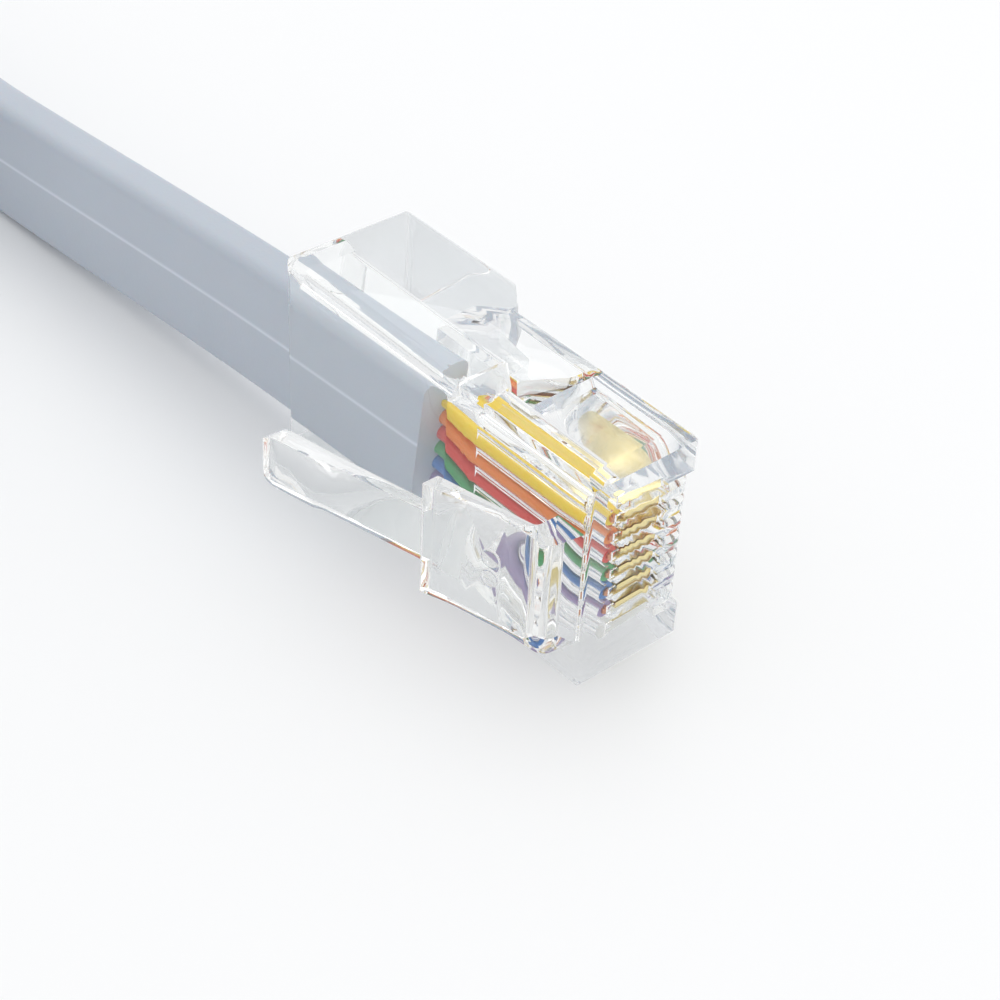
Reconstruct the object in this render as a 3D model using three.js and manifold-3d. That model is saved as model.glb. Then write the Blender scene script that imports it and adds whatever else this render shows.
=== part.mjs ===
// A clear modular plug crimped on a flat cable, with a nine-way serial connector at the
// cable's far end. The plug lies on one narrow side, as it does on a table.
// Millimetres, +Z up. +X is the way the plug goes into its socket, -Y is its latch side.
// The origin is under the middle of the plug.

import * as THREE from 'three';
import { mergeVertices } from 'three/addons/utils/BufferGeometryUtils.js';
import Module from 'manifold-3d';

const wasm = await Module();
wasm.setup();

// Clearances
const CLEARANCE = 0.3; // between pieces that rest on or run beside each other
const FIT = 0.06; // between the blades, the wires and the moulding around them
const SEAT = 0.02; // between flat faces that are pressed together
const PASS = 1; // how far a cut runs past the face that it opens

// Plug housing
const PLUG_LENGTH = 21.5;
const PLUG_WIDTH = 11.68;
const NOSE_THICKNESS = 6.1;
const REAR_STEP = 1.45; // how far the rear stands out on the contact side
const STEP_START = 11.9; // from the nose to the foot of the step's ramp
const STEP_RAMP = 1.85;
const EDGE_ROUND = 0.7; // on the four long edges
const NOSE_CHAMFER = 0.35;
const NOSE_LEAD = 0.8; // how far back the nose chamfer reaches
const SIDE_WALL = 1.25; // beside the cable
const LATCH_WALL = 0.6; // under the latch
const MOUTH_FLARE = 0.35; // where the cable goes in
const MOUTH_FLARE_LENGTH = 0.8;
const NOSE_ROUND = 0.15; // on the nose's short edges
const STEP_FOOT_ROUND = 0.25;
const STEP_TOP_ROUND = 0.4;
const REAR_ROUND = 0.35; // on the rear's short edges
const REAR_SIDE_ROUND = 0.25;

// Contacts and wires
const POSITIONS = 8; // slots in the nose
const LOADED = [2, 3, 4, 5, 6, 7]; // the positions that hold a blade and a wire
const PITCH = 1.02;
const SLOT_WIDTH = 0.5;
const SLOT_END = 6.9; // from the nose
const SLOT_OPEN_DEPTH = 1.6; // how deep the slots are open at the nose
const NOSE_WALL = 1.1; // in front of the slots' deep part
const RIB_ROUND = 0.85;
const BLADE_THICKNESS = 0.36;
const BLADE_LENGTH = 5.8;
const BLADE_FRONT = 0.62; // from the nose
const BLADE_TOP_DEPTH = 0.85; // below the ribs
const BLADE_NOSE_ROUND = 0.5;
const BLADE_REAR_ROUND = 0.3;
const TOOTH_LENGTH = 0.7;
const TOOTH_SPACING = 2;
const TOOTH_DEPTH = 0.5; // into the wire
const WIRE_DIAMETER = 0.86;
const WIRE_PITCH_IN_JACKET = 0.93;
const WIRE_DEPTH = 0.95; // from the middle of the nose towards the latch
const WIRE_NOSE_GAP = 1.45; // from the nose to the wires' ends
const WIRE_LEAVES = 0.6; // how far a wire runs straight out of the jacket
const WIRE_LEADS = 0.7; // how far it runs straight before its channel
const WIRE_STEPS = 14;
const CHANNEL_END = 1.3; // from the nose to the end of the channels
const CHANNEL_DIAMETER = 1.06;
const CHANNEL_MOUTH = 8.4; // from the nose
const FUNNEL_LENGTH = 1.3;

// Pressed strain relief in the housing
const RECESS_FRONT = 7.5; // from the nose
const RECESS_WIDTH = 7.2;
const BAR_THICKNESS = 1.3;
const BAR_FOOT = 3.4; // length of the bar's foot on the jacket
const BAR_FRONT = 1.9; // from the recess's front to the bar's foot
const BAR_HINGE = 0.8; // from the step's top to where the bar joins the housing
const BAR_RISE = 1.6; // length of the bar's bend at the hinge
const RECESS_SLOPE = 1.3; // how far the recess's front leans back
const RECESS_REAR = 0.6; // from the step's top to the recess's rear

// Latch, measured from the nose and from the latch face
const LATCH_WIDTH = 6.1;
const TAIL_WIDTH = 2.8;
const LATCH_ROOT = 1.95; // length of the root block
const LATCH_GAP = 1.2; // between the root's end and the housing
const LATCH_THICKNESS = 0.75;
const SHOULDER_END = 7.1;
const SHOULDER_LIFT = 2.35; // inner side of the plate at the shoulders
const SHOULDER_LIP = 0.2; // extra thickness at the shoulders
const TAIL_PAD_START = 12.6;
const TAIL_END = 16.1;
const TAIL_BEND_LIFT = 3.7; // inner side at the pad's start
const TAIL_LIFT = 4.45; // inner side at the tail's end
const PAD_EXTRA = 0.25;
const PAD_ROUND = 1.0;
const PAD_RAMP = 0.4; // where the pad gets thicker
const ROOT_FRONT = 0.25; // from the nose to the root block
const ROOT_LEAN = 0.3; // how far the root block's front leans
const ROOT_SINK = 0.4; // how far the root block runs into the housing
const SHOULDER_NECK = 1.4; // length of the plate's thick end at the shoulders
const TAIL_ROOT = 1; // how far the tail runs into the plate

// Flat cable
const JACKET_WIDTH = 7.5;
const JACKET_THICKNESS = 2.4;
const JACKET_ROUND = 0.85;
const JACKET_END = 11.3; // from the nose
const JACKET_RISE = 0.35; // how far the jacket's end sits above the plug's middle
const RUN_FLOOR_GAP = 0.05; // under the cable's edge where it lies on the floor
const RUN_LANDS = 51; // from the nose to where the cable's edge comes down on the floor
const RUN_LEAVES = 60; // from the nose to where it starts to climb to the coil
const RUN_BOW = 0.75; // how far the run bows out on the latch side
const CORNER_TURNS = [180, 270, 0, 90]; // degrees, where each corner of the jacket's section starts

// Coil, laid flat, with its middle seen from above
const COIL_X = -75;
const FULL_TURNS = 5;
const TURN_PITCH = 2.9;
const COIL_CLEAR = 1.2; // round the connector that lies inside the coil
const COIL_SIDES = 72;
const TIE_THICKNESS = 0.6;
const TIE_WIDTH = 7;
const TIE_ANGLE = -100; // degrees round the coil

// Serial connector, with its place from the coil's middle
const FACE_X = 21.8; // the hood's face
const CONNECTOR_Y = -6;
const HOOD_LENGTH = 28;
const HOOD_WIDTH = 31;
const HOOD_HEIGHT = 15.4;
const HOOD_ROUND = 2.2;
const HOOD_STRAIGHT = 15.4; // from the face to where the hood's sides close in
const HOOD_REAR_WIDTH = 14.88;
const HOOD_FACE_ROUND = 0.6;
const HOOD_SIDE_ROUND = 5;
const HOOD_REAR_ROUND = 3;
const BOOT_LENGTH = 8;
const BOOT_TIP_WALL = 1.6;
const BOOT_ROOT_WALL = 2.6;
const BOOT_POCKET = 5; // how deep the boot holds the cable
const BOOT_THIN = 0.4; // how much thinner the boot's walls are above and below the cable
const BOOT_ROUND = 0.4;
const TAIL_BEND = 15.5; // radius of the cable's bend from the coil to the boot
const TAIL_BEND_POINTS = 6;
const FLANGE_THICKNESS = 0.8;
const FLANGE_HEIGHT = 12.5;
const FLANGE_LENGTH = 30.8;
const FLANGE_ROUND = 1;
const SHELL_WIDTH = 16.9;
const SHELL_HEIGHT = 8.4;
const SHELL_DEPTH = 5.9;
const SHELL_WALL = 0.4;
const SHELL_ROUND = 2.2;
const SHELL_SLANT = 10; // degrees
const PIN_PITCH = 2.77;
const PIN_ROWS = 2.84;
const INSERT_DEPTH = 0.15; // below the shell's edge
const SOCKET_DIAMETER = 1.2;
const SOCKET_DEPTH = 4;
const NUT_SPACING = 24.99;
const NUT_ACROSS = 4.75;
const NUT_LENGTH = 5;
const NUT_BORE = 2.6;
const NUT_BORE_DEPTH = 4;

// Worked out from the above
const HALF_NOSE = NOSE_THICKNESS / 2;
const HALF_WIDTH = PLUG_WIDTH / 2;
const REAR_TOP = HALF_NOSE + REAR_STEP;
const LATCH_REACH = HALF_NOSE + TAIL_LIFT + LATCH_THICKNESS + PAD_EXTRA;
const JACKET_Y = -HALF_NOSE + LATCH_WALL + CLEARANCE + JACKET_THICKNESS / 2;
const WIRE_Y = -WIRE_DEPTH;
const RUN_CLEAR = JACKET_THICKNESS / 2 + CLEARANCE; // from the coil's face to the cable's middle
const COIL_LIFT = TIE_THICKNESS + CLEARANCE;
const NUT_ROUND = NUT_ACROSS / Math.sqrt(3); // to a corner of the hexagon
const COIL_INNER = COIL_CLEAR + Math.hypot(
    FACE_X + SEAT + FLANGE_THICKNESS + NUT_LENGTH,
    CONNECTOR_Y - NUT_SPACING / 2 - NUT_ROUND,
);
const BEND_Y = CONNECTOR_Y + TAIL_BEND; // the middle of the tail's bend, from the coil's middle
const BEND_X = -Math.sqrt((COIL_INNER - RUN_CLEAR - TAIL_BEND) ** 2 - BEND_Y ** 2);
const TAIL_ANGLE = Math.atan2(BEND_Y, BEND_X); // where the cable leaves the coil's inside
const RUN_ANGLE = Math.PI / 2; // where it joins the coil's outside
const TURNS = FULL_TURNS + (TAIL_ANGLE - RUN_ANGLE) / (2 * Math.PI);
const RING_WIDTH = TURN_PITCH * TURNS + JACKET_THICKNESS;
const COIL_OUTER = COIL_INNER + RING_WIDTH;

const MATERIALS = {
    clear: new THREE.MeshStandardMaterial({
        color: 0xeef2f2, roughness: 0.08, transparent: true, opacity: 0.45,
    }),
    jacket: new THREE.MeshStandardMaterial({ color: 0xa9b1bf, roughness: 0.5 }),
    hood: new THREE.MeshStandardMaterial({ color: 0x9aa2b0, roughness: 0.55 }),
    gold: new THREE.MeshStandardMaterial({ color: 0xc9a445, roughness: 0.25, metalness: 1 }),
    nickel: new THREE.MeshStandardMaterial({ color: 0xc4c6c8, roughness: 0.3, metalness: 1 }),
    insert: new THREE.MeshStandardMaterial({ color: 0x1c1d20, roughness: 0.5 }),
    tie: new THREE.MeshStandardMaterial({ color: 0x24252a, roughness: 0.9 }),
};
const WIRE_COLOURS = [0xf0d21e, 0xf08a24, 0xe0382c, 0x2f9e4f, 0x2f6fc4, 0x7a5aa8];

// Shapes

/** A flat shape through points [a, b] or [a, b, radius], with its corners rounded. */
function outline(points) {
    const shape = new THREE.Shape();
    points.forEach(([a, b, radius = 0], i) => {
        const corner = new THREE.Vector2(a, b);
        const before = new THREE.Vector2(...points[(i + points.length - 1) % points.length]);
        const after = new THREE.Vector2(...points[(i + 1) % points.length]);
        const start = corner.clone().add(before.sub(corner).setLength(radius));
        const end = corner.clone().add(after.sub(corner).setLength(radius));
        if (i === 0) shape.moveTo(start.x, start.y);
        else shape.lineTo(start.x, start.y);
        if (radius > 0) shape.quadraticCurveTo(corner.x, corner.y, end.x, end.y);
    });
    shape.closePath();
    return shape;
}

/** The four corners of a rectangle about a middle, with one radius. */
function rectangle(middleA, middleB, width, height, radius = 0) {
    const [w, h] = [width / 2, height / 2];
    return [[-w, -h], [w, -h], [w, h], [-w, h]].map(([a, b]) => [middleA + a, middleB + b, radius]);
}

const AXIS_X = new THREE.Vector3(1, 0, 0);
const AXIS_Y = new THREE.Vector3(0, 1, 0);
const AXIS_Z = new THREE.Vector3(0, 0, 1);

/** Where an extrusion's own axes point for each way that it can be laid. */
const LAY = {
    x: new THREE.Matrix4().makeBasis(AXIS_Y, AXIS_Z, AXIS_X),
    y: new THREE.Matrix4().makeBasis(AXIS_X, AXIS_Z, AXIS_Y.clone().negate()),
    z: new THREE.Matrix4(),
};

/** A prism of the points along x (points are y, z), y (points are x, z) or z (points are x, y). */
function prism(axis, points, from, to, curveSegments = 4) {
    const shape = points instanceof THREE.Shape ? points : outline(points);
    const depth = to - from;
    const geometry = new THREE.ExtrudeGeometry(shape, { depth, bevelEnabled: false, curveSegments });
    geometry.translate(0, 0, axis === 'y' ? -to : from);
    return solid(geometry.applyMatrix4(LAY[axis]));
}

/** A round bar along x. */
function barX(diameter, from, to, y, z, sides = 12) {
    const geometry = new THREE.CylinderGeometry(diameter / 2, diameter / 2, to - from, sides);
    geometry.rotateZ(-Math.PI / 2).translate((from + to) / 2, y, z);
    return solid(geometry);
}

/** A closed three.js geometry as a manifold solid. */
function solid(geometry) {
    let bare = geometry.clone();
    for (const name of ['normal', 'uv']) bare.deleteAttribute(name);
    bare = mergeVertices(bare, 1e-5);
    return new wasm.Manifold(new wasm.Mesh({
        numProp: 3,
        vertProperties: new Float32Array(bare.attributes.position.array),
        triVerts: new Uint32Array(bare.index.array),
    }));
}

/** A manifold solid as a three.js mesh with its name. */
function mesh(name, body, material) {
    const data = body.getMesh();
    const geometry = new THREE.BufferGeometry();
    geometry.setAttribute('position', new THREE.BufferAttribute(new Float32Array(data.vertProperties), 3));
    geometry.setIndex(new THREE.BufferAttribute(new Uint32Array(data.triVerts), 1));
    geometry.computeVertexNormals();
    const result = new THREE.Mesh(geometry, material);
    result.name = name;
    return result;
}

/** The middle of a contact position across the plug, counted from the top. */
function positionZ(position) {
    return ((POSITIONS + 1) / 2 - position) * PITCH;
}

/** How high the cable's middle is above the floor, at a distance behind the nose. */
function cableZ(back, coilBack) {
    const top = HALF_WIDTH + JACKET_RISE;
    const floor = JACKET_WIDTH / 2 + RUN_FLOOR_GAP;
    const fall = THREE.MathUtils.clamp((back - JACKET_END) / (RUN_LANDS - JACKET_END), 0, 1);
    const climb = THREE.MathUtils.smoothstep(back, RUN_LEAVES, coilBack);
    return top + (floor - top) * fall + (COIL_LIFT - RUN_FLOOR_GAP) * climb;
}

// Plug. Its own frame has x = 0 at the nose and y = z = 0 in the middle of the nose.

/** The housing's outside, cut by its side, front and top outlines. */
function housingBlank() {
    const side = prism('z', [
        [0, -HALF_NOSE, NOSE_ROUND], [0, HALF_NOSE, NOSE_ROUND], [-STEP_START, HALF_NOSE, STEP_FOOT_ROUND],
        [-STEP_START - STEP_RAMP, REAR_TOP, STEP_TOP_ROUND], [-PLUG_LENGTH, REAR_TOP, REAR_ROUND],
        [-PLUG_LENGTH, -HALF_NOSE, REAR_ROUND],
    ], -HALF_WIDTH, HALF_WIDTH);
    const rearMiddle = (REAR_TOP - HALF_NOSE) / 2;
    const rearFront = rectangle(rearMiddle, 0, REAR_TOP + HALF_NOSE, PLUG_WIDTH, EDGE_ROUND);
    const noseFront = rectangle(0, 0, NOSE_THICKNESS, PLUG_WIDTH, EDGE_ROUND);
    const rear = prism('x', rearFront, -PLUG_LENGTH, -STEP_START);
    const nose = prism('x', noseFront, -STEP_START - STEP_RAMP, 0); // runs on inside the rear
    const inset = HALF_WIDTH - NOSE_CHAMFER;
    const top = prism('y', [
        [0, -inset], [0, inset], [-NOSE_LEAD, HALF_WIDTH], [-PLUG_LENGTH, HALF_WIDTH, REAR_SIDE_ROUND],
        [-PLUG_LENGTH, -HALF_WIDTH, REAR_SIDE_ROUND], [-NOSE_LEAD, -HALF_WIDTH],
    ], -REAR_TOP - PASS, REAR_TOP + PASS);
    return side.intersect(rear.add(nose)).intersect(top);
}

/** The latch: root block, plate with shoulders, and narrow tail with a thumb pad. */
function latch() {
    const face = -HALF_NOSE;
    const out = (back, lift, radius) => [-back, face - lift, radius];
    const rootLift = LATCH_GAP + LATCH_THICKNESS;
    const shoulderLift = SHOULDER_LIFT + LATCH_THICKNESS;
    const bendLift = TAIL_BEND_LIFT + LATCH_THICKNESS;
    const endLift = TAIL_LIFT + LATCH_THICKNESS + PAD_EXTRA;
    const tailStart = SHOULDER_END - TAIL_ROOT;
    const plate = prism('z', [
        out(ROOT_FRONT, -ROOT_SINK), out(ROOT_FRONT + ROOT_LEAN, rootLift - 0.2, 0.5),
        out(LATCH_ROOT + 0.5, rootLift, 0.4), out(SHOULDER_END - SHOULDER_NECK, shoulderLift - 0.35, 0.6),
        out(SHOULDER_END, shoulderLift + SHOULDER_LIP, 0.15), out(SHOULDER_END, SHOULDER_LIFT, 0.1),
        out(LATCH_ROOT, LATCH_GAP, 0.3), out(LATCH_ROOT, -ROOT_SINK),
    ], -LATCH_WIDTH / 2, LATCH_WIDTH / 2);
    const tail = prism('z', [
        out(tailStart, SHOULDER_LIFT - 0.2), out(tailStart, shoulderLift - 0.3),
        out(TAIL_PAD_START, bendLift), out(TAIL_PAD_START + PAD_RAMP, bendLift + PAD_EXTRA),
        out(TAIL_END, endLift, 0.4),
        out(TAIL_END, TAIL_LIFT, 0.3), out(TAIL_PAD_START, TAIL_BEND_LIFT, 0.3),
    ], -TAIL_WIDTH / 2, TAIL_WIDTH / 2);
    const plan = prism('y', [
        [-SHOULDER_END + 2, -TAIL_WIDTH], [-SHOULDER_END + 2, TAIL_WIDTH], [-TAIL_PAD_START, TAIL_WIDTH],
        [-TAIL_PAD_START, TAIL_WIDTH / 2], [-TAIL_END, TAIL_WIDTH / 2, PAD_ROUND],
        [-TAIL_END, -TAIL_WIDTH / 2, PAD_ROUND], [-TAIL_PAD_START, -TAIL_WIDTH / 2],
        [-TAIL_PAD_START, -TAIL_WIDTH],
    ], -LATCH_REACH - PASS, 0);
    return plate.add(tail.intersect(plan));
}

/** The room for the jacket, the funnel in front of it and the wires' channels. */
function cableRoom() {
    const low = -HALF_NOSE + LATCH_WALL;
    const high = JACKET_Y + JACKET_THICKNESS / 2 + CLEARANCE;
    const half = HALF_WIDTH - SIDE_WALL;
    const funnelStart = -CHANNEL_MOUTH - FUNNEL_LENGTH;
    const funnelEnd = -CHANNEL_MOUTH + 0.2;
    const section = rectangle((low + high) / 2, 0, high - low, 2 * half, 0.5);
    const room = prism('x', section, -PLUG_LENGTH - PASS, funnelStart);
    const mouth = -PLUG_LENGTH - 0.1;
    const flareEnd = -PLUG_LENGTH + MOUTH_FLARE_LENGTH;
    const flare = prism('y', [
        [mouth, -half - MOUTH_FLARE], [mouth, half + MOUTH_FLARE], [flareEnd, half], [flareEnd, -half],
    ], low, high);
    const narrow = 0.9 * (CHANNEL_DIAMETER / 2);
    const funnel = prism('z', [
        [funnelStart - 0.1, low], [funnelStart, low], [funnelEnd, WIRE_Y - narrow],
        [funnelEnd, WIRE_Y + narrow], [funnelStart, high], [funnelStart - 0.1, high],
    ], -half + CLEARANCE, half - CLEARANCE);
    let all = room.add(flare).add(funnel);
    for (let position = 1; position <= POSITIONS; position += 1) {
        all = all.add(barX(CHANNEL_DIAMETER, -CHANNEL_MOUTH, -CHANNEL_END, WIRE_Y, positionZ(position), 16));
    }
    return all;
}

/** The contact slots with the round corners of the ribs between them. */
function contactSlots() {
    const openFloor = HALF_NOSE - SLOT_OPEN_DEPTH;
    const slotWidth = SLOT_WIDTH / 2;
    const corner = prism('z', (() => {
        const shape = new THREE.Shape();
        shape.moveTo(1, HALF_NOSE - RIB_ROUND);
        shape.lineTo(0, HALF_NOSE - RIB_ROUND);
        shape.absarc(-RIB_ROUND, HALF_NOSE - RIB_ROUND, RIB_ROUND, 0, Math.PI / 2);
        shape.lineTo(-RIB_ROUND, HALF_NOSE + 1);
        shape.lineTo(1, HALF_NOSE + 1);
        return shape;
    })(), -positionZ(1) - slotWidth, positionZ(1) + slotWidth, 8);
    let all = corner;
    for (let position = 1; position <= POSITIONS; position += 1) {
        const z = positionZ(position);
        all = all.add(prism('z', [
            [1, openFloor], [1, HALF_NOSE + 1], [-SLOT_END, HALF_NOSE + 1], [-SLOT_END, WIRE_Y],
            [-NOSE_WALL, WIRE_Y], [-NOSE_WALL, openFloor],
        ], z - slotWidth, z + slotWidth));
    }
    return all;
}

/** The hollow above the pressed bar. */
function reliefRecess() {
    const floor = JACKET_Y + JACKET_THICKNESS / 2 + CLEARANCE - 0.2;
    const stepTop = -STEP_START - STEP_RAMP;
    return prism('z', [
        [-RECESS_FRONT, REAR_TOP + PASS], [-RECESS_FRONT, HALF_NOSE - 0.6, 0.3],
        [-RECESS_FRONT - RECESS_SLOPE, floor], [stepTop - RECESS_REAR, floor],
        [stepTop - RECESS_REAR, REAR_TOP - 1.9], [stepTop + 0.5, REAR_TOP - 0.9],
        [stepTop + 0.5, REAR_TOP + PASS],
    ], -RECESS_WIDTH / 2, RECESS_WIDTH / 2);
}

/** The bar that the crimp pressed on to the jacket, still joined to the housing behind it. */
function reliefBar() {
    const foot = JACKET_Y + JACKET_THICKNESS / 2 + CLEARANCE;
    const front = -RECESS_FRONT - BAR_FRONT;
    const hinge = -STEP_START - STEP_RAMP - BAR_HINGE;
    const back = foot + BAR_THICKNESS;
    return prism('z', [
        [front, foot, 0.15], [front - 0.2, back, 0.3], [hinge + BAR_RISE, back + 0.5, 0.3],
        [hinge, REAR_TOP - 1], [hinge, REAR_TOP - 2], [front - BAR_FOOT, foot, 0.2],
    ], -RECESS_WIDTH / 2 + FIT, RECESS_WIDTH / 2 - FIT);
}

/** The whole clear moulding. */
function housing() {
    const body = housingBlank().add(latch());
    const open = body.subtract(cableRoom()).subtract(contactSlots()).subtract(reliefRecess());
    return open.add(reliefBar());
}

/** A gold blade with two teeth, in the frame of the plug. */
function blade(z) {
    const top = HALF_NOSE - BLADE_TOP_DEPTH;
    const bottom = WIRE_Y + WIRE_DIAMETER / 2 + FIT;
    const front = -BLADE_FRONT;
    const rear = front - BLADE_LENGTH;
    const shoulder = HALF_NOSE - SLOT_OPEN_DEPTH + FIT;
    const inside = -NOSE_WALL - FIT;
    const round = Math.min(BLADE_NOSE_ROUND, top - shoulder);
    const half = TOOTH_LENGTH / 2;
    const points = [[front, shoulder], [front, top, round], [rear, top, BLADE_REAR_ROUND], [rear, bottom]];
    for (const x of toothPlaces()) {
        points.push([x - half, bottom], [x, bottom - TOOTH_DEPTH], [x + half, bottom]);
    }
    points.push([inside, bottom], [inside, shoulder]);
    return prism('z', points, z - BLADE_THICKNESS / 2, z + BLADE_THICKNESS / 2);
}

/** Where the teeth of a blade stand, from the rear one to the front one. */
function toothPlaces() {
    const middle = -BLADE_FRONT - BLADE_LENGTH / 2;
    return [middle - TOOTH_SPACING / 2, middle + TOOTH_SPACING / 2];
}

/** A wire from the jacket's end to the nose, with nicks where the blade's teeth bite. */
function wire(position) {
    const middle = (LOADED[0] + LOADED[LOADED.length - 1]) / 2;
    const jacketZ = (middle - position) * WIRE_PITCH_IN_JACKET + JACKET_RISE;
    const z = positionZ(position);
    const start = -JACKET_END + CLEARANCE;
    const points = [
        [start, JACKET_Y, jacketZ], [start + WIRE_LEAVES, JACKET_Y, jacketZ],
        [-CHANNEL_MOUTH - WIRE_LEADS, WIRE_Y, z],
        [-CHANNEL_MOUTH, WIRE_Y, z], [-(CHANNEL_MOUTH + WIRE_NOSE_GAP) / 2, WIRE_Y, z],
        [-WIRE_NOSE_GAP, WIRE_Y, z],
    ].map((p) => new THREE.Vector3(...p));
    const path = new THREE.CatmullRomCurve3(points, false, 'catmullrom', 0.2);
    const round = new THREE.Shape().absarc(0, 0, WIRE_DIAMETER / 2, 0, Math.PI * 2);
    const settings = { steps: WIRE_STEPS, curveSegments: 8, extrudePath: path, bevelEnabled: false };
    const body = solid(new THREE.ExtrudeGeometry(round, settings));
    const half = TOOTH_LENGTH / 2 + FIT;
    const deep = 2 * (TOOTH_DEPTH + FIT);
    const nick = rectangle(WIRE_Y + WIRE_DIAMETER / 2, z, deep, BLADE_THICKNESS + 2 * FIT);
    return toothPlaces().reduce((left, x) => left.subtract(prism('x', nick, x - half, x + half)), body);
}

// Cable

/** The flat jacket's section, wide way up, as twelve points. */
function jacketSection() {
    const [w, h, r] = [JACKET_THICKNESS / 2, JACKET_WIDTH / 2, JACKET_ROUND];
    const shape = new THREE.Shape();
    const corners = [[-w + r, -h + r], [w - r, -h + r], [w - r, h - r], [-w + r, h - r]];
    corners.forEach(([a, b], i) => {
        for (const step of [0, 45, 90]) {
            const angle = THREE.MathUtils.degToRad(CORNER_TURNS[i] + step);
            const point = [a + r * Math.cos(angle), b + r * Math.sin(angle)];
            if (i === 0 && step === 0) shape.moveTo(...point);
            else shape.lineTo(...point);
        }
    });
    shape.closePath();
    return shape;
}

/** A stretch of flat cable: a straight extrusion laid along a route, on edge all the way. */
function flatCable(points, steps) {
    const route = points.map((p) => new THREE.Vector3(...p));
    const path = new THREE.CatmullRomCurve3(route, false, 'centripetal');
    const geometry = new THREE.ExtrudeGeometry(jacketSection(), { depth: 1, steps, bevelEnabled: false });
    const place = geometry.attributes.position;
    for (let i = 0; i < place.count; i += 1) {
        const share = THREE.MathUtils.clamp(place.getZ(i), 0, 1);
        const middle = path.getPointAt(share);
        const along = path.getTangentAt(share).setZ(0).setLength(place.getX(i));
        place.setXYZ(i, middle.x - along.y, middle.y + along.x, middle.z + place.getY(i));
    }
    return geometry;
}

/** The free run's route, from the jacket's end in the plug to the coil's outside. */
function runPoints(nose, y) {
    const coilBack = nose - COIL_X;
    const steps = [JACKET_END, 15.3, 21.5, 27.3, 35.3, 45.3, RUN_LANDS, 55.3, RUN_LEAVES, 68, 77, coilBack];
    return steps.map((back) => {
        const share = Math.max(0, (back - PLUG_LENGTH) / (coilBack - PLUG_LENGTH));
        return [nose - back, y - RUN_BOW * Math.sin(Math.PI * share) ** 2, cableZ(back, coilBack)];
    });
}

/** The route from the coil's inside to the connector's boot. */
function tailPoints(coilY) {
    const low = COIL_LIFT + JACKET_WIDTH / 2;
    const climb = HOOD_HEIGHT / 2 - low;
    const end = FACE_X - HOOD_LENGTH - BOOT_LENGTH + BOOT_POCKET - CLEARANCE;
    const points = [];
    for (let i = 0; i <= TAIL_BEND_POINTS; i += 1) {
        const share = i / TAIL_BEND_POINTS;
        const angle = TAIL_ANGLE + (1.5 * Math.PI - TAIL_ANGLE) * share;
        const x = COIL_X + BEND_X + TAIL_BEND * Math.cos(angle);
        points.push([x, coilY + BEND_Y + TAIL_BEND * Math.sin(angle), low + climb * share]);
    }
    for (const share of [0.5, 1]) {
        points.push([COIL_X + BEND_X + (end - BEND_X) * share, coilY + CONNECTOR_Y, HOOD_HEIGHT / 2]);
    }
    return points;
}

/** The ring that the coil's turns fill. */
function coilRing(coilY) {
    const r = JACKET_ROUND;
    const [low, high] = [0, JACKET_WIDTH];
    const profile = [
        [COIL_INNER + r, low], [COIL_OUTER - r, low], [COIL_OUTER, low + r], [COIL_OUTER, high - r],
        [COIL_OUTER - r, high], [COIL_INNER + r, high], [COIL_INNER, high - r], [COIL_INNER, low + r],
        [COIL_INNER + r, low],
    ].map(([a, b]) => new THREE.Vector2(a, b));
    const geometry = new THREE.LatheGeometry(profile, COIL_SIDES);
    geometry.rotateX(Math.PI / 2).translate(COIL_X, coilY, COIL_LIFT);
    return solid(geometry);
}

/** The strap round the coil's turns. */
function coilTie(coilY) {
    const middle = (COIL_INNER + COIL_OUTER) / 2;
    const wide = RING_WIDTH + 2 * CLEARANCE;
    const tall = JACKET_WIDTH + 2 * CLEARANCE;
    const z = COIL_LIFT + JACKET_WIDTH / 2;
    const shape = outline(rectangle(middle, z, wide + 2 * TIE_THICKNESS, tall + 2 * TIE_THICKNESS, 1.4));
    shape.holes.push(outline(rectangle(middle, z, wide, tall, 0.8)));
    const settings = { depth: TIE_WIDTH, bevelEnabled: false, curveSegments: 4 };
    const geometry = new THREE.ExtrudeGeometry(shape, settings);
    geometry.translate(0, 0, -TIE_WIDTH / 2).applyMatrix4(LAY.y);
    geometry.rotateZ(THREE.MathUtils.degToRad(TIE_ANGLE)).translate(COIL_X, coilY, 0);
    return solid(geometry);
}

// Serial connector. Its own frame has x = 0 at the hood's face and z = 0 at the floor.

/** A D outline about the middle, the wide side on top. */
function dOutline(width, height, radius) {
    const slant = (height / 2) * Math.tan(THREE.MathUtils.degToRad(SHELL_SLANT));
    const middle = HOOD_HEIGHT / 2;
    return [
        [-width / 2 + slant, middle - height / 2, radius], [width / 2 - slant, middle - height / 2, radius],
        [width / 2 + slant, middle + height / 2, radius], [-width / 2 - slant, middle + height / 2, radius],
    ];
}

/** The hood's body, closing in towards the boot. */
function hoodBody() {
    const [side, rear] = [HOOD_WIDTH / 2, HOOD_REAR_WIDTH / 2];
    const plan = prism('z', [
        [0, -side, HOOD_FACE_ROUND], [0, side, HOOD_FACE_ROUND], [-HOOD_STRAIGHT, side, HOOD_SIDE_ROUND],
        [-HOOD_LENGTH, rear, HOOD_REAR_ROUND], [-HOOD_LENGTH, -rear, HOOD_REAR_ROUND],
        [-HOOD_STRAIGHT, -side, HOOD_SIDE_ROUND],
    ], 0, HOOD_HEIGHT, 6);
    const section = rectangle(0, HOOD_HEIGHT / 2, HOOD_WIDTH, HOOD_HEIGHT, HOOD_ROUND);
    return plan.intersect(prism('x', section, -HOOD_LENGTH - PASS, PASS, 6));
}

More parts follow.
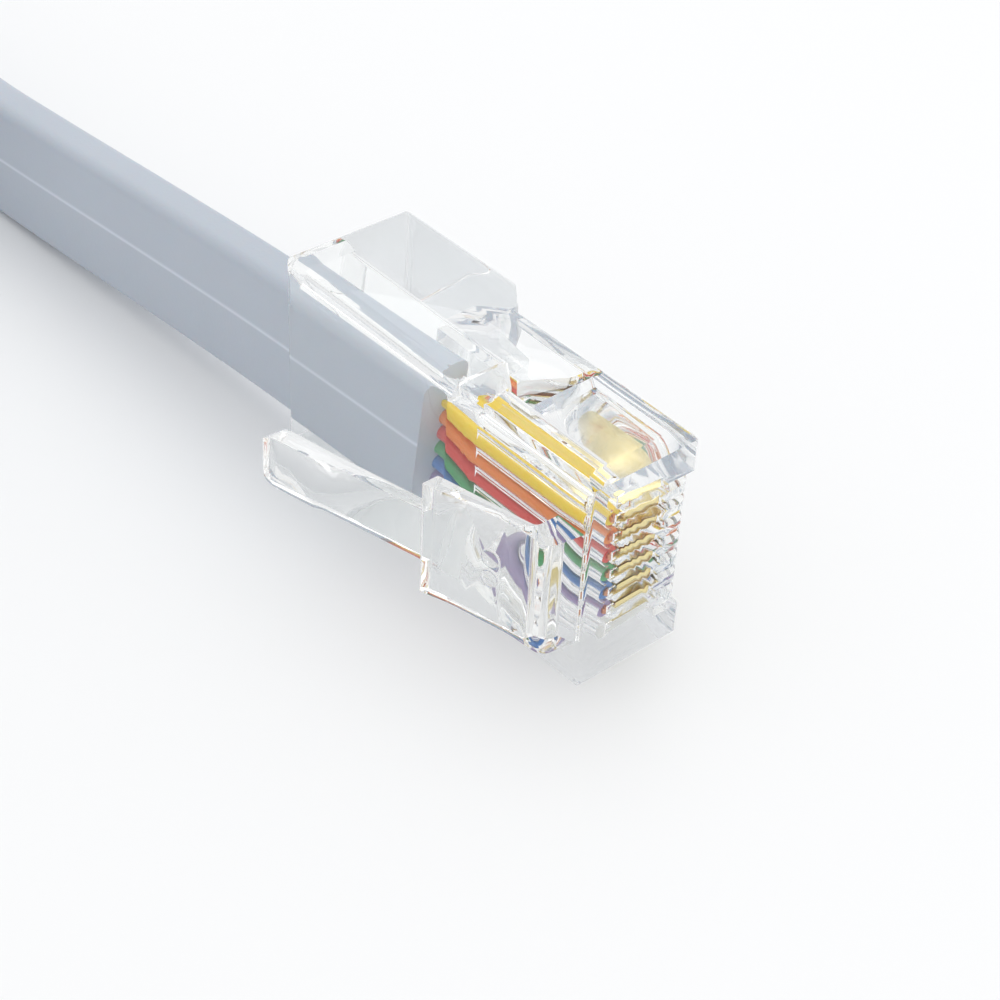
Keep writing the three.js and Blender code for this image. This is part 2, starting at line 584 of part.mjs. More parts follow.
/** The tapered boot round the cable. */
function boot() {
    const middle = HOOD_HEIGHT / 2;
    const end = -HOOD_LENGTH - BOOT_LENGTH;
    const wide = JACKET_THICKNESS / 2 + CLEARANCE;
    const tall = JACKET_WIDTH / 2 + CLEARANCE - BOOT_THIN;
    const [rootWide, tipWide] = [wide + BOOT_ROOT_WALL, wide + BOOT_TIP_WALL];
    const [rootTall, tipTall] = [tall + BOOT_ROOT_WALL, tall + BOOT_TIP_WALL];
    const plan = prism('z', [
        [-HOOD_LENGTH + 1, -rootWide], [-HOOD_LENGTH + 1, rootWide],
        [end, tipWide, BOOT_ROUND], [end, -tipWide, BOOT_ROUND],
    ], 0, HOOD_HEIGHT);
    const side = prism('y', [
        [-HOOD_LENGTH + 2, middle - rootTall], [-HOOD_LENGTH + 2, middle + rootTall],
        [end, middle + tipTall, 0.6], [end, middle - tipTall, 0.6],
    ], -rootWide - PASS, rootWide + PASS);
    return plan.intersect(side);
}

/** The moulded hood with its boot, open where the cable goes in. */
function hood() {
    const end = -HOOD_LENGTH - BOOT_LENGTH;
    const wide = JACKET_THICKNESS + 2 * CLEARANCE;
    const tall = JACKET_WIDTH + 2 * CLEARANCE;
    const section = rectangle(0, HOOD_HEIGHT / 2, wide, tall, JACKET_ROUND);
    return hoodBody().add(boot()).subtract(prism('x', section, end - PASS, end + BOOT_POCKET));
}

/** The pressed metal flange with its D shell. */
function shell() {
    const plate = rectangle(0, HOOD_HEIGHT / 2, FLANGE_LENGTH, FLANGE_HEIGHT, FLANGE_ROUND);
    const walls = 2 * SHELL_WALL;
    const inside = dOutline(SHELL_WIDTH - walls, SHELL_HEIGHT - walls, SHELL_ROUND - SHELL_WALL);
    const end = FLANGE_THICKNESS + SHELL_DEPTH;
    const flange = prism('x', plate, 0, FLANGE_THICKNESS);
    const outer = prism('x', dOutline(SHELL_WIDTH, SHELL_HEIGHT, SHELL_ROUND), 0, end, 5);
    const inner = prism('x', inside, -PASS, end + PASS, 5);
    return flange.add(outer).subtract(inner);
}

/** The insulator inside the shell, with nine sockets. */
function insert() {
    const inset = 2 * (SHELL_WALL + FIT);
    const face = dOutline(SHELL_WIDTH - inset, SHELL_HEIGHT - inset, SHELL_ROUND - SHELL_WALL);
    const end = FLANGE_THICKNESS + SHELL_DEPTH;
    let body = prism('x', face, 0, end - INSERT_DEPTH, 5);
    for (const [count, side] of [[5, 1], [4, -1]]) {
        for (let i = 0; i < count; i += 1) {
            const y = (i - (count - 1) / 2) * PIN_PITCH;
            const z = HOOD_HEIGHT / 2 + (side * PIN_ROWS) / 2;
            body = body.subtract(barX(SOCKET_DIAMETER, end - SOCKET_DEPTH, end + PASS, y, z, 12));
        }
    }
    return body;
}

/** A hexagonal jack nut on the flange. */
function jackNut(y) {
    const seat = FLANGE_THICKNESS + SEAT;
    const end = FLANGE_THICKNESS + NUT_LENGTH;
    const hex = barX(2 * NUT_ROUND, seat, end, y, HOOD_HEIGHT / 2, 6);
    return hex.subtract(barX(NUT_BORE, end - NUT_BORE_DEPTH, end + PASS, y, HOOD_HEIGHT / 2, 16));
}

// Assembly

const plug = new THREE.Group();
const moulding = mesh('plug_housing', housing(), MATERIALS.clear);
const middle = new THREE.Box3().setFromObject(moulding).getCenter(new THREE.Vector3());
plug.position.set(-middle.x, -middle.y, -middle.z + HALF_WIDTH); // the origin is under the middle
plug.add(moulding);
LOADED.forEach((position, i) => {
    const colour = new THREE.MeshStandardMaterial({ color: WIRE_COLOURS[i], roughness: 0.4 });
    plug.add(mesh(`contact_${position}`, blade(positionZ(position)), MATERIALS.gold));
    plug.add(mesh(`wire_${position}`, wire(position), colour));
});

const cable = new THREE.Group();
const runY = plug.position.y + JACKET_Y;
const coilY = runY - COIL_OUTER - RUN_CLEAR;
const route = runPoints(plug.position.x, runY);
cable.add(mesh('cable_run', solid(flatCable(route, 40)), MATERIALS.jacket));
cable.add(mesh('cable_coil', coilRing(coilY), MATERIALS.jacket));
cable.add(mesh('cable_tail', solid(flatCable(tailPoints(coilY), 14)), MATERIALS.jacket));
cable.add(mesh('coil_tie', coilTie(coilY), MATERIALS.tie));

const connector = new THREE.Group();
connector.position.set(COIL_X + FACE_X, coilY + CONNECTOR_Y, 0);
connector.add(mesh('connector_hood', hood(), MATERIALS.hood));
const face = new THREE.Group();
face.position.x = SEAT;
face.add(mesh('connector_shell', shell(), MATERIALS.nickel));
face.add(mesh('connector_insert', insert(), MATERIALS.insert));
face.add(mesh('jack_nut_1', jackNut(-NUT_SPACING / 2), MATERIALS.nickel));
face.add(mesh('jack_nut_2', jackNut(NUT_SPACING / 2), MATERIALS.nickel));
connector.add(face);

const adapter = new THREE.Group();
adapter.add(plug, cable, connector);
export default adapter;
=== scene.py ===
"""A clear modular plug on a flat cable, with a nine-way serial connector at the cable's far end.

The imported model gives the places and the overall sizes. The classes below make the finished pieces
that stand for its plain solids, and the studio: a pale table top, soft light and the camera.
"""

from __future__ import annotations

import logging
import math
from dataclasses import dataclass, field
from enum import Enum
from typing import Iterable, Sequence

import bmesh
import bpy
from mathutils import Matrix, Vector

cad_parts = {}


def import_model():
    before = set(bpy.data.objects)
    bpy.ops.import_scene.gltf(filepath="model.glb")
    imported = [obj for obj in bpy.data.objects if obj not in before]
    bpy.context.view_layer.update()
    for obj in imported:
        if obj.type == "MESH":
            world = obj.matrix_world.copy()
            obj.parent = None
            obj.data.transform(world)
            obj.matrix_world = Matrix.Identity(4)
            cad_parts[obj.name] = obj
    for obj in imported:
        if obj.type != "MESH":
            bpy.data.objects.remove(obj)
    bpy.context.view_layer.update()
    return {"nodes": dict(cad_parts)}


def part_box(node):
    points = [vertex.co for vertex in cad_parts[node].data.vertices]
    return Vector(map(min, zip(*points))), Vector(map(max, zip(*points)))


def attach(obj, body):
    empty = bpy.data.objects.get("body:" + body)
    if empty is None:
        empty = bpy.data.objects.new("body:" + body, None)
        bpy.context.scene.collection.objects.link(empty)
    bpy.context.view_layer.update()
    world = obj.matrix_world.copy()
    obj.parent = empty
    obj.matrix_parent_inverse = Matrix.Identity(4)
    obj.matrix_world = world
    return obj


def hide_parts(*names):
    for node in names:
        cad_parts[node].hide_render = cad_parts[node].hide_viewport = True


LOG = logging.getLogger("adapter")
MM = 0.001
BODY = "root"
SAME_PLACE = 0.002 * MM  # packed vertices closer than this are one
FLAT_ANGLE = math.radians(0.6)  # packed faces that meet at less than this are one
BUMP_STRENGTH = 0.6

Outline = list[tuple[float, float]]
Ring = list[Vector]


class Slot(Enum):
    """The record's material slots, apart from the wires'."""

    CLEAR = "clear_plastic"
    GOLD = "gold_plate"
    JACKET = "cable_jacket"
    TIE = "tie_strap"
    HOOD = "hood_plastic"
    NICKEL = "nickel_plate"
    INSERT = "insert_plastic"


class Insulation(Enum):
    """The wires' colours, from the top of the plug down: red, green and blue, linear."""

    YELLOW = (0.84, 0.60, 0.03)
    ORANGE = (0.80, 0.22, 0.03)
    RED = (0.66, 0.045, 0.03)
    GREEN = (0.06, 0.34, 0.12)
    BLUE = (0.05, 0.19, 0.50)
    VIOLET = (0.33, 0.26, 0.46)

    @property
    def slot(self) -> str:
        """The record's material slot of this wire."""
        return f"wire_{self.name.lower()}"


@dataclass(frozen=True)
class Span:
    """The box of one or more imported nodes, in metres."""

    low: Vector
    high: Vector

    @classmethod
    def of(cls, *nodes: str) -> Span:
        """Measures the nodes.

        Args:
            nodes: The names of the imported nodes.

        Returns:
            The box that holds them all.
        """
        boxes = [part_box(node) for node in nodes]
        low = Vector(min(low[i] for low, _ in boxes) for i in range(3))
        high = Vector(max(high[i] for _, high in boxes) for i in range(3))
        return cls(low, high)

    @property
    def middle(self) -> Vector:
        """The middle of the box."""
        return (self.low + self.high) / 2

    @property
    def size(self) -> Vector:
        """The lengths of the box's sides."""
        return self.high - self.low


# Meshes


def rounded(corners: Sequence[tuple[float, ...]], steps: int = 6) -> Outline:
    """Rounds the corners of an outline with true arcs.

    Args:
        corners: Points (a, b) or (a, b, radius), in order.
        steps: How many stretches each arc has.

    Returns:
        The outline's points.
    """
    out: Outline = []
    for i, corner in enumerate(corners):
        here = Vector(corner[:2])
        radius = corner[2] if len(corner) > 2 else 0.0
        if radius <= 0:
            out.append(tuple(here))
            continue
        before = (Vector(corners[i - 1][:2]) - here).normalized()
        after = (Vector(corners[(i + 1) % len(corners)][:2]) - here).normalized()
        half = before.angle(after) / 2
        middle = here + (before + after).normalized() * radius / math.sin(half)
        first = here + before * radius / math.tan(half) - middle
        last = here + after * radius / math.tan(half) - middle
        turn = math.atan2(first.x * last.y - first.y * last.x, first.dot(last))
        for step in range(steps + 1):
            out.append(tuple(middle + Matrix.Rotation(turn * step / steps, 2) @ first))
    return out


def rectangle(width: float, height: float, radius: float = 0.0) -> list[tuple[float, ...]]:
    """The corners of a rectangle about the origin, with one radius."""
    a, b = width / 2, height / 2
    return [(-a, -b, radius), (a, -b, radius), (a, b, radius), (-a, b, radius)]


def linked(name: str, data: bpy.types.ID) -> bpy.types.Object:
    """Makes an object of a mesh, a lamp or a camera and links it to the scene."""
    made = bpy.data.objects.new(name, data)
    bpy.context.scene.collection.objects.link(made)
    return made


def new_object(
    name: str, points: Sequence[Sequence[float]], faces: Sequence[Sequence[int]]
) -> bpy.types.Object:
    """Makes a mesh object at the origin, with its doubles merged and its faces pointing out.

    Args:
        name: The object's name.
        points: The vertices, in metres.
        faces: The faces, as indexes of the vertices.

    Returns:
        The new object, linked to the scene.
    """
    data = bpy.data.meshes.new(name)
    data.from_pydata([tuple(p) for p in points], [], [tuple(f) for f in faces])
    tidy_mesh(data)
    return linked(name, data)


def tidy_mesh(data: bpy.types.Mesh, merge: float = 1e-7) -> None:
    """Merges doubles and turns the faces of a closed mesh outwards.

    Args:
        data: The mesh to change.
        merge: How close two vertices are to be one, in metres.
    """
    work = bmesh.new()
    work.from_mesh(data)
    bmesh.ops.remove_doubles(work, verts=work.verts, dist=merge)
    bmesh.ops.recalc_face_normals(work, faces=work.faces)
    work.to_mesh(data)
    work.free()


def prism(name: str, outline: Outline, low: float, high: float) -> bpy.types.Object:
    """Makes an upright prism of an outline.

    Args:
        name: The object's name.
        outline: The outline's points, in metres.
        low: Where it starts along z.
        high: Where it ends.

    Returns:
        The prism.
    """
    count = len(outline)
    points = [(a, b, end) for end in (low, high) for a, b in outline]
    sides = [(i, (i + 1) % count, count + (i + 1) % count, count + i) for i in range(count)]
    ends = [tuple(range(count))[::-1], tuple(range(count, 2 * count))]
    return new_object(name, points, sides + ends)


def loft(name: str, rings: Sequence[Ring], closed: bool = False) -> bpy.types.Object:
    """Joins rings of points with a skin.

    Args:
        name: The object's name.
        rings: Rings with the same count of points.
        closed: True if the last ring meets the first, as on a torus. The ends are capped otherwise.

    Returns:
        The skinned object.
    """
    count = len(rings[0])
    points = [p for ring in rings for p in ring]
    faces: list[tuple[int, ...]] = []
    for i in range(len(rings) if closed else len(rings) - 1):
        a, b = i * count, ((i + 1) % len(rings)) * count
        faces += [(a + j, a + (j + 1) % count, b + (j + 1) % count, b + j) for j in range(count)]
    if not closed:
        faces.append(tuple(range(count))[::-1])
        faces.append(tuple(range((len(rings) - 1) * count, len(rings) * count)))
    return new_object(name, points, faces)


def circle(middle: Vector, side: Vector, up: Vector, radius: float, sides: int) -> Ring:
    """A ring of points round a middle, in the plane of two directions."""
    turns = [2 * math.pi * i / sides for i in range(sides)]
    return [middle + (side * math.cos(t) + up * math.sin(t)) * radius for t in turns]


def bake(made: bpy.types.Object) -> bpy.types.Object:
    """Turns an object's modifiers into its plain mesh.

    Args:
        made: The object.

    Returns:
        The same object, without modifiers.
    """
    graph = bpy.context.evaluated_depsgraph_get()
    graph.update()
    flat = bpy.data.meshes.new_from_object(made.evaluated_get(graph))
    old = made.data
    made.modifiers.clear()
    made.data = flat
    if old.users == 0:
        bpy.data.meshes.remove(old)
    return made


def soften(made: bpy.types.Object, width: float, segments: int = 2, angle: float = 35) -> bpy.types.Object:
    """Rounds an object's edges and bakes the result.

    Args:
        made: The object.
        width: The rounding's width, in metres.
        segments: How many faces the rounding has.
        angle: The least angle of an edge that is rounded, in degrees.

    Returns:
        The same object.
    """
    bevel = made.modifiers.new("edges", "BEVEL")
    bevel.width = width
    bevel.segments = segments
    bevel.limit_method = "ANGLE"
    bevel.angle_limit = math.radians(angle)
    bevel.use_clamp_overlap = True
    return shade(bake(made))


def shade(made: bpy.types.Object, angle: float = 38) -> bpy.types.Object:
    """Shades an object smooth, apart from edges sharper than an angle in degrees."""
    made.data.shade_smooth()
    made.data.set_sharp_from_angle(angle=math.radians(angle))
    return made


def combine(
    made: bpy.types.Object, other: bpy.types.Object, operation: str = "DIFFERENCE"
) -> bpy.types.Object:
    """Cuts one closed object out of another, or joins it to it, and removes it.

    Args:
        made: The object to change.
        other: The object that is used up.
        operation: DIFFERENCE or UNION.

    Returns:
        The changed object, baked.
    """
    step = made.modifiers.new("combine", "BOOLEAN")
    step.operation = operation
    step.solver = "EXACT"
    step.object = other
    bake(made)
    bpy.data.objects.remove(other)
    return made


def refined(node: str, name: str, width: float, angle: float = 40) -> bpy.types.Object:
    """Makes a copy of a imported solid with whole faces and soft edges.

    Args:
        node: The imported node.
        name: The new object's name.
        width: The width of the edges' rounding, in metres.
        angle: The least angle of an edge that is rounded, in degrees.

    Returns:
        The new object.
    """
    source = bpy.data.objects[node].data.copy()
    work = bmesh.new()
    work.from_mesh(source)
    bmesh.ops.remove_doubles(work, verts=work.verts, dist=SAME_PLACE)
    bmesh.ops.dissolve_limit(work, angle_limit=FLAT_ANGLE, verts=work.verts, edges=work.edges)
    work.to_mesh(source)
    work.free()
    return soften(linked(name, source), width, 2, angle)


def lathe(name: str, profile: Outline, middle: Vector, sides: int = 32) -> bpy.types.Object:
    """Turns a closed profile round a line along x.

    Args:
        name: The object's name.
        profile: Points (along x, radius), in metres.
        middle: Where x is 0 on the line.
        sides: How many sides the turned ring has.

    Returns:
        The turned ring.
    """
    rings: list[Ring] = []
    for i in range(sides):
        turn = 2 * math.pi * i / sides
        out = Vector((0, math.cos(turn), math.sin(turn)))
        rings.append([middle + Vector((x, 0, 0)) + out * radius for x, radius in profile])
    return loft(name, rings, closed=True)


def merge(name: str, parts: Sequence[bpy.types.Object]) -> bpy.types.Object:
    """Joins several objects into one, with the first one's materials first.

    Args:
        name: The joined object's name.
        parts: The objects, which are used up.

    Returns:
        The joined object.
    """
    work = bmesh.new()
    materials: list[bpy.types.Material] = []
    for part in parts:
        for material in part.data.materials:
            if material not in materials:
                materials.append(material)
        places = [materials.index(m) for m in part.data.materials] or [0]
        first = len(work.faces)
        work.from_mesh(part.data)
        work.faces.ensure_lookup_table()
        for face in work.faces[first:]:
            face.material_index = places[min(face.material_index, len(places) - 1)]
    data = bpy.data.meshes.new(name)
    work.to_mesh(data)
    work.free()
    for material in materials:
        data.materials.append(material)
    for part in parts:
        bpy.data.objects.remove(part)
    return linked(name, data)


# Shader nodes


class Graph:
    """A node tree with short calls to add nodes and join them."""

    def __init__(self, tree: bpy.types.NodeTree) -> None:
        """Keeps the tree."""
        self.tree = tree

    def add(self, kind: str, **settings: object) -> bpy.types.Node:
        """Adds a node.

        Args:
            kind: The node's type.
            settings: Its own settings, such as operation or data_type.

        Returns:
            The new node.
        """
        node = self.tree.nodes.new(kind)
        for key, value in settings.items():
            setattr(node, key, value)
        return node

    def feed(self, node: bpy.types.Node, **values: object) -> bpy.types.Node:
        """Sets or links a node's inputs by name, with _ for a space.

        Args:
            node: The node.
            values: A number, a colour or another node's output for each input.

        Returns:
            The same node.
        """
        for key, value in values.items():
            self.put(node.inputs[key.replace("_", " ")], value)
        return node

    def put(self, socket: bpy.types.NodeSocket, value: object) -> None:
        """Links an output to an input, or sets the input to a value."""
        if isinstance(value, bpy.types.NodeSocket):
            self.tree.links.new(value, socket)
        else:
            socket.default_value = value

    def calc(self, operation: str, *values: object) -> bpy.types.NodeSocket:
        """Adds a maths node.

        Args:
            operation: What it works out.
            values: A number or another node's output for each input, in order.

        Returns:
            The result's socket.
        """
        node = self.add("ShaderNodeMath", operation=operation)
        for socket, value in zip(node.inputs, values):
            self.put(socket, value)
        return node.outputs[0]


def shader_group(name: str, inputs: dict[str, tuple[str, object]], outputs: dict[str, str]) -> Graph:
    """Starts a shader node group.

    Args:
        name: The group's name.
        inputs: A socket type and a default value for each input.
        outputs: A socket type for each output.

    Returns:
        The group's graph, with its input and output nodes in it.
    """
    tree = bpy.data.node_groups.new(name, "ShaderNodeTree")
    for label, (kind, default) in inputs.items():
        socket = tree.interface.new_socket(name=label, in_out="INPUT", socket_type=kind)
        if default is not None:
            socket.default_value = default
    for label, kind in outputs.items():
        tree.interface.new_socket(name=label, in_out="OUTPUT", socket_type=kind)
    graph = Graph(tree)
    graph.add("NodeGroupInput", name="in")
    graph.add("NodeGroupOutput", name="out")
    return graph


class Effects:
    """The shader groups that more than one material uses, each built once."""

    def __init__(self) -> None:
        """Builds the groups."""
        self.drift = self._drift()
        self.grain = self._grain()
        self.rub = self._rub()

    @staticmethod
    def _drift() -> bpy.types.NodeTree:
        """Slow, faint changes of a colour over a moulding or a cable."""
        graph = shader_group(
            "colour drift",
            {
                "Vector": ("NodeSocketVector", None),
                "Colour": ("NodeSocketColor", (0.5, 0.5, 0.5, 1)),
                "Amount": ("NodeSocketFloat", 0.08),
                "Scale": ("NodeSocketFloat", 120.0),
            },
            {"Colour": "NodeSocketColor"},
        )
        nodes = graph.tree.nodes
        noise = graph.feed(
            graph.add("ShaderNodeTexNoise"),
            Vector=nodes["in"].outputs["Vector"],
            Scale=nodes["in"].outputs["Scale"],
            Detail=4.0,
        )
        spread = graph.calc("SUBTRACT", noise.outputs["Fac"], 0.5)
        weigh = graph.calc("MULTIPLY_ADD", spread, nodes["in"].outputs["Amount"], 1.0)
        tint = graph.add("ShaderNodeVectorMath", operation="SCALE")
        graph.feed(tint, Vector=nodes["in"].outputs["Colour"], Scale=weigh)
        graph.feed(nodes["out"], Colour=tint.outputs[0])
        return graph.tree

    @staticmethod
    def _roughness(graph: Graph, noise: bpy.types.Node) -> None:
        """Spreads a noise between the group's Low and High and puts it out as Roughness."""
        source = graph.tree.nodes["in"].outputs
        span = graph.add("ShaderNodeMapRange")
        graph.feed(span, Value=noise.outputs["Fac"], To_Min=source["Low"], To_Max=source["High"])
        graph.feed(graph.tree.nodes["out"], Roughness=span.outputs[0])

    @staticmethod
    def _grain() -> bpy.types.NodeTree:
        """The fine texture that a mould leaves on a plastic."""
        graph = shader_group(
            "mould grain",
            {
                "Vector": ("NodeSocketVector", None),
                "Scale": ("NodeSocketFloat", 4000.0),
                "Low": ("NodeSocketFloat", 0.4),
                "High": ("NodeSocketFloat", 0.6),
            },
            {"Height": "NodeSocketFloat", "Roughness": "NodeSocketFloat"},
        )
        nodes = graph.tree.nodes
        source = nodes["in"].outputs
        spot = {"Vector": source["Vector"], "Scale": source["Scale"]}
        cells = graph.feed(graph.add("ShaderNodeTexVoronoi"), **spot)
        noise = graph.feed(graph.add("ShaderNodeTexNoise"), **spot, Detail=3.0)
        graph.feed(nodes["out"], Height=graph.calc("ADD", cells.outputs["Distance"], noise.outputs["Fac"]))
        Effects._roughness(graph, noise)
        return graph.tree

    @staticmethod
    def _rub() -> bpy.types.NodeTree:
        """Fine rubbing marks along one way of a plated metal."""
        graph = shader_group(
            "rub marks",
            {
                "Vector": ("NodeSocketVector", None),
                "Scale": ("NodeSocketFloat", 900.0),
                "Low": ("NodeSocketFloat", 0.15),
                "High": ("NodeSocketFloat", 0.32),
            },
            {"Height": "NodeSocketFloat", "Roughness": "NodeSocketFloat"},
        )
        nodes = graph.tree.nodes
        source = nodes["in"].outputs
        stretch = graph.feed(graph.add("ShaderNodeMapping"), Vector=source["Vector"], Scale=(0.15, 1.0, 1.0))
        noise = graph.feed(
            graph.add("ShaderNodeTexNoise"), Vector=stretch.outputs[0], Scale=source["Scale"], Detail=5.0
        )
        graph.feed(nodes["out"], Height=noise.outputs["Fac"])
        Effects._roughness(graph, noise)
        return graph.tree


def start_material(name: str) -> tuple[bpy.types.Material, Graph, bpy.types.Node, bpy.types.NodeSocket]:
    """Starts a material.

    Args:
        name: The material's name.

    Returns:
        The material, its graph, its surface shader and the coordinates of the object.
    """
    made = bpy.data.materials.new(name)
    made.use_nodes = True
    graph = Graph(made.node_tree)
    spot = graph.add("ShaderNodeTexCoord").outputs["Object"]
    return made, graph, made.node_tree.nodes["Principled BSDF"], spot


class Break(Enum):
    """What breaks up a surface's gloss."""

    GRAIN = "grain"
    RUB = "rub"


@dataclass(frozen=True)
class Finish:
    """A solid finish: its colour and how its surface is broken up. Lengths are in metres."""

    name: str
    colour: tuple[float, float, float]
    low: float
    high: float
    pattern: Break = Break.GRAIN
    scale: float = 3000.0
    depth: float = 0.01 * MM
    drift: float = 0.08
    drift_scale: float = 150.0
    metallic: float = 0.0
    sheen: float = 0.0
    glow: float = 0.0

    def material(self, effects: Effects) -> bpy.types.Material:
        """Builds the material.

        Args:
            effects: The shared shader groups.

        Returns:
            The material.
        """
        made, graph, surface, spot = start_material(self.name)
        tint = graph.add("ShaderNodeGroup", node_tree=effects.drift)
        graph.feed(tint, Vector=spot, Colour=(*self.colour, 1), Amount=self.drift, Scale=self.drift_scale)
        tree = effects.grain if self.pattern is Break.GRAIN else effects.rub
        broken = graph.add("ShaderNodeGroup", node_tree=tree)
        graph.feed(broken, Vector=spot, Scale=self.scale, Low=self.low, High=self.high)
        bump = graph.feed(graph.add("ShaderNodeBump"), Height=broken.outputs["Height"], Distance=self.depth)
        graph.feed(bump, Strength=BUMP_STRENGTH)
        graph.feed(
            surface,
            Base_Color=tint.outputs["Colour"],
            Roughness=broken.outputs["Roughness"],
            Normal=bump.outputs["Normal"],
            Metallic=self.metallic,
            Sheen_Weight=self.sheen,
            Subsurface_Weight=self.glow,
        )
        if self.glow:
            graph.feed(surface, Subsurface_Scale=0.3 * MM)
        return made


@dataclass(frozen=True)
class ClearFinish:
    """A clear moulded plastic."""

    name: str = "clear polycarbonate"
    colour: tuple[float, float, float] = (0.985, 0.99, 0.985)
    refraction: float = 1.4
    roughness: float = 0.02
    gloss: float = 0.85
    ripple: float = 0.001 * MM
    ripple_scale: float = 260.0
    shade: tuple[float, float, float] = (0.975, 0.98, 0.98)

    def material(self) -> bpy.types.Material:
        """Builds the material, with a moulding's faint ripple. Lamp light and diffuse light pass it.

        Returns:
            The material.
        """
        made, graph, surface, spot = start_material(self.name)
        noise = graph.feed(graph.add("ShaderNodeTexNoise"), Vector=spot, Scale=self.ripple_scale, Detail=1.0)
        bump = graph.feed(graph.add("ShaderNodeBump"), Height=noise.outputs["Fac"], Distance=self.ripple)
        graph.feed(
            surface,
            Base_Color=(*self.colour, 1),
            Roughness=self.roughness,
            IOR=self.refraction,
            Specular_IOR_Level=self.gloss,
            Transmission_Weight=1.0,
            Normal=bump.outputs["Normal"],
        )
        way = graph.add("ShaderNodeLightPath")
        through = graph.add("ShaderNodeBsdfTransparent")
        graph.feed(through, Color=(*self.shade, 1))
        either = graph.calc("MAXIMUM", way.outputs["Is Shadow Ray"], way.outputs["Is Diffuse Ray"])
        blend = graph.add("ShaderNodeMixShader")
        for socket, value in zip(blend.inputs, (either, surface.outputs[0], through.outputs[0])):
            graph.put(socket, value)
        graph.feed(made.node_tree.nodes["Material Output"], Surface=blend.outputs[0])
        return made


@dataclass(frozen=True)
class JacketFinish:
    """The flat cable's jacket, with a painted highlight: a paler copy of its colour along the seam, where
    its attribute says.
    """

    name: str = "blue-grey jacket"
    colour: tuple[float, float, float] = (0.478, 0.524, 0.59)
    # painted highlight: the jacket's own colour made paler, as light catching the seam's ridge
    seam_and_highlight: tuple[float, float, float] = (0.66, 0.70, 0.78)
    drift: float = 0.10
    low: float = 0.36
    high: float = 0.5

    def material(self, effects: Effects) -> bpy.types.Material:
        """Builds the material.

        Args:
            effects: The shared shader groups.

        Returns:
            The material.
        """
        made, graph, surface, spot = start_material(self.name)
        # painted highlight along the seam: the attribute blends the jacket's colour towards its paler copy
        seam_and_highlight = graph.add("ShaderNodeAttribute", attribute_name="seam_and_highlight")
        blend = graph.add("ShaderNodeMix", data_type="RGBA")
        graph.feed(blend, Factor=seam_and_highlight.outputs["Fac"])
        blend.inputs[6].default_value = (*self.colour, 1)
        blend.inputs[7].default_value = (*self.seam_and_highlight, 1)
        tint = graph.add("ShaderNodeGroup", node_tree=effects.drift)
        graph.feed(tint, Vector=spot, Colour=blend.outputs[2], Amount=self.drift, Scale=90.0)
        grain = graph.add("ShaderNodeGroup", node_tree=effects.grain)
        graph.feed(grain, Vector=spot, Scale=5200.0, Low=self.low, High=self.high)
        bump = graph.feed(graph.add("ShaderNodeBump"), Height=grain.outputs["Height"], Distance=0.006 * MM)
        graph.feed(
            surface,
            Base_Color=tint.outputs["Colour"],
            Roughness=grain.outputs["Roughness"],
            Normal=bump.outputs["Normal"],
            Subsurface_Weight=0.15,
            Subsurface_Scale=0.4 * MM,
        )
        return made


class Palette:
    """Every material of the adapter, by the record's slot."""

    def __init__(self) -> None:
        """Builds the materials."""
        effects = Effects()
        solid = {
            Slot.GOLD: Finish(
                "gold plate", (0.88, 0.74, 0.36), 0.16, 0.3, Break.RUB,
                scale=2400.0, depth=0.004 * MM, drift=0.1, drift_scale=300.0, metallic=1.0,
            ),
            Slot.TIE: Finish(
                "black strap", (0.016, 0.016, 0.019), 0.75, 0.95, depth=0.08 * MM, sheen=0.5,
            ),
            Slot.HOOD: Finish(
                "blue-grey hood", (0.37, 0.41, 0.49), 0.42, 0.58, scale=2600.0, depth=0.03 * MM,
            ),
            Slot.NICKEL: Finish(
                "bright nickel", (0.74, 0.72, 0.68), 0.14, 0.34, Break.RUB,
                scale=700.0, depth=0.004 * MM, drift=0.06, metallic=1.0,
            ),
            Slot.INSERT: Finish(
                "black insert", (0.018, 0.018, 0.02), 0.38, 0.55, scale=2200.0, depth=0.015 * MM,
            ),
        }
        self.by_slot = {slot: finish.material(effects) for slot, finish in solid.items()}
        self.by_slot[Slot.CLEAR] = ClearFinish().material()
        self.by_slot[Slot.JACKET] = JacketFinish().material(effects)
        self.wires = {
            colour: Finish(f"{colour.name.lower()} insulation", colour.value, 0.28, 0.4, glow=0.2,
                           scale=2500.0, depth=0.004 * MM).material(effects)
            for colour in Insulation
        }
        bare = Finish("copper strands", (0.72, 0.32, 0.17), 0.25, 0.4, Break.RUB, metallic=1.0)
        self.copper = bare.material(effects)


def dress(made: bpy.types.Object, material: bpy.types.Material) -> bpy.types.Object:
    """Gives an object one material."""
    made.data.materials.clear()
    made.data.materials.append(material)
    return made


def place(made: bpy.types.Object, nodes: Iterable[str] = ()) -> bpy.types.Object:
    """Puts a finished piece on the part.

    Args:
        made: The finished piece.
        nodes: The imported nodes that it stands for.

    Returns:
        The same piece.
    """
    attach(made, BODY)
    if nodes:
        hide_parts(*nodes)
    LOG.info("%s: %d faces", made.name, len(made.data.polygons))
    return made


# Geometry nodes


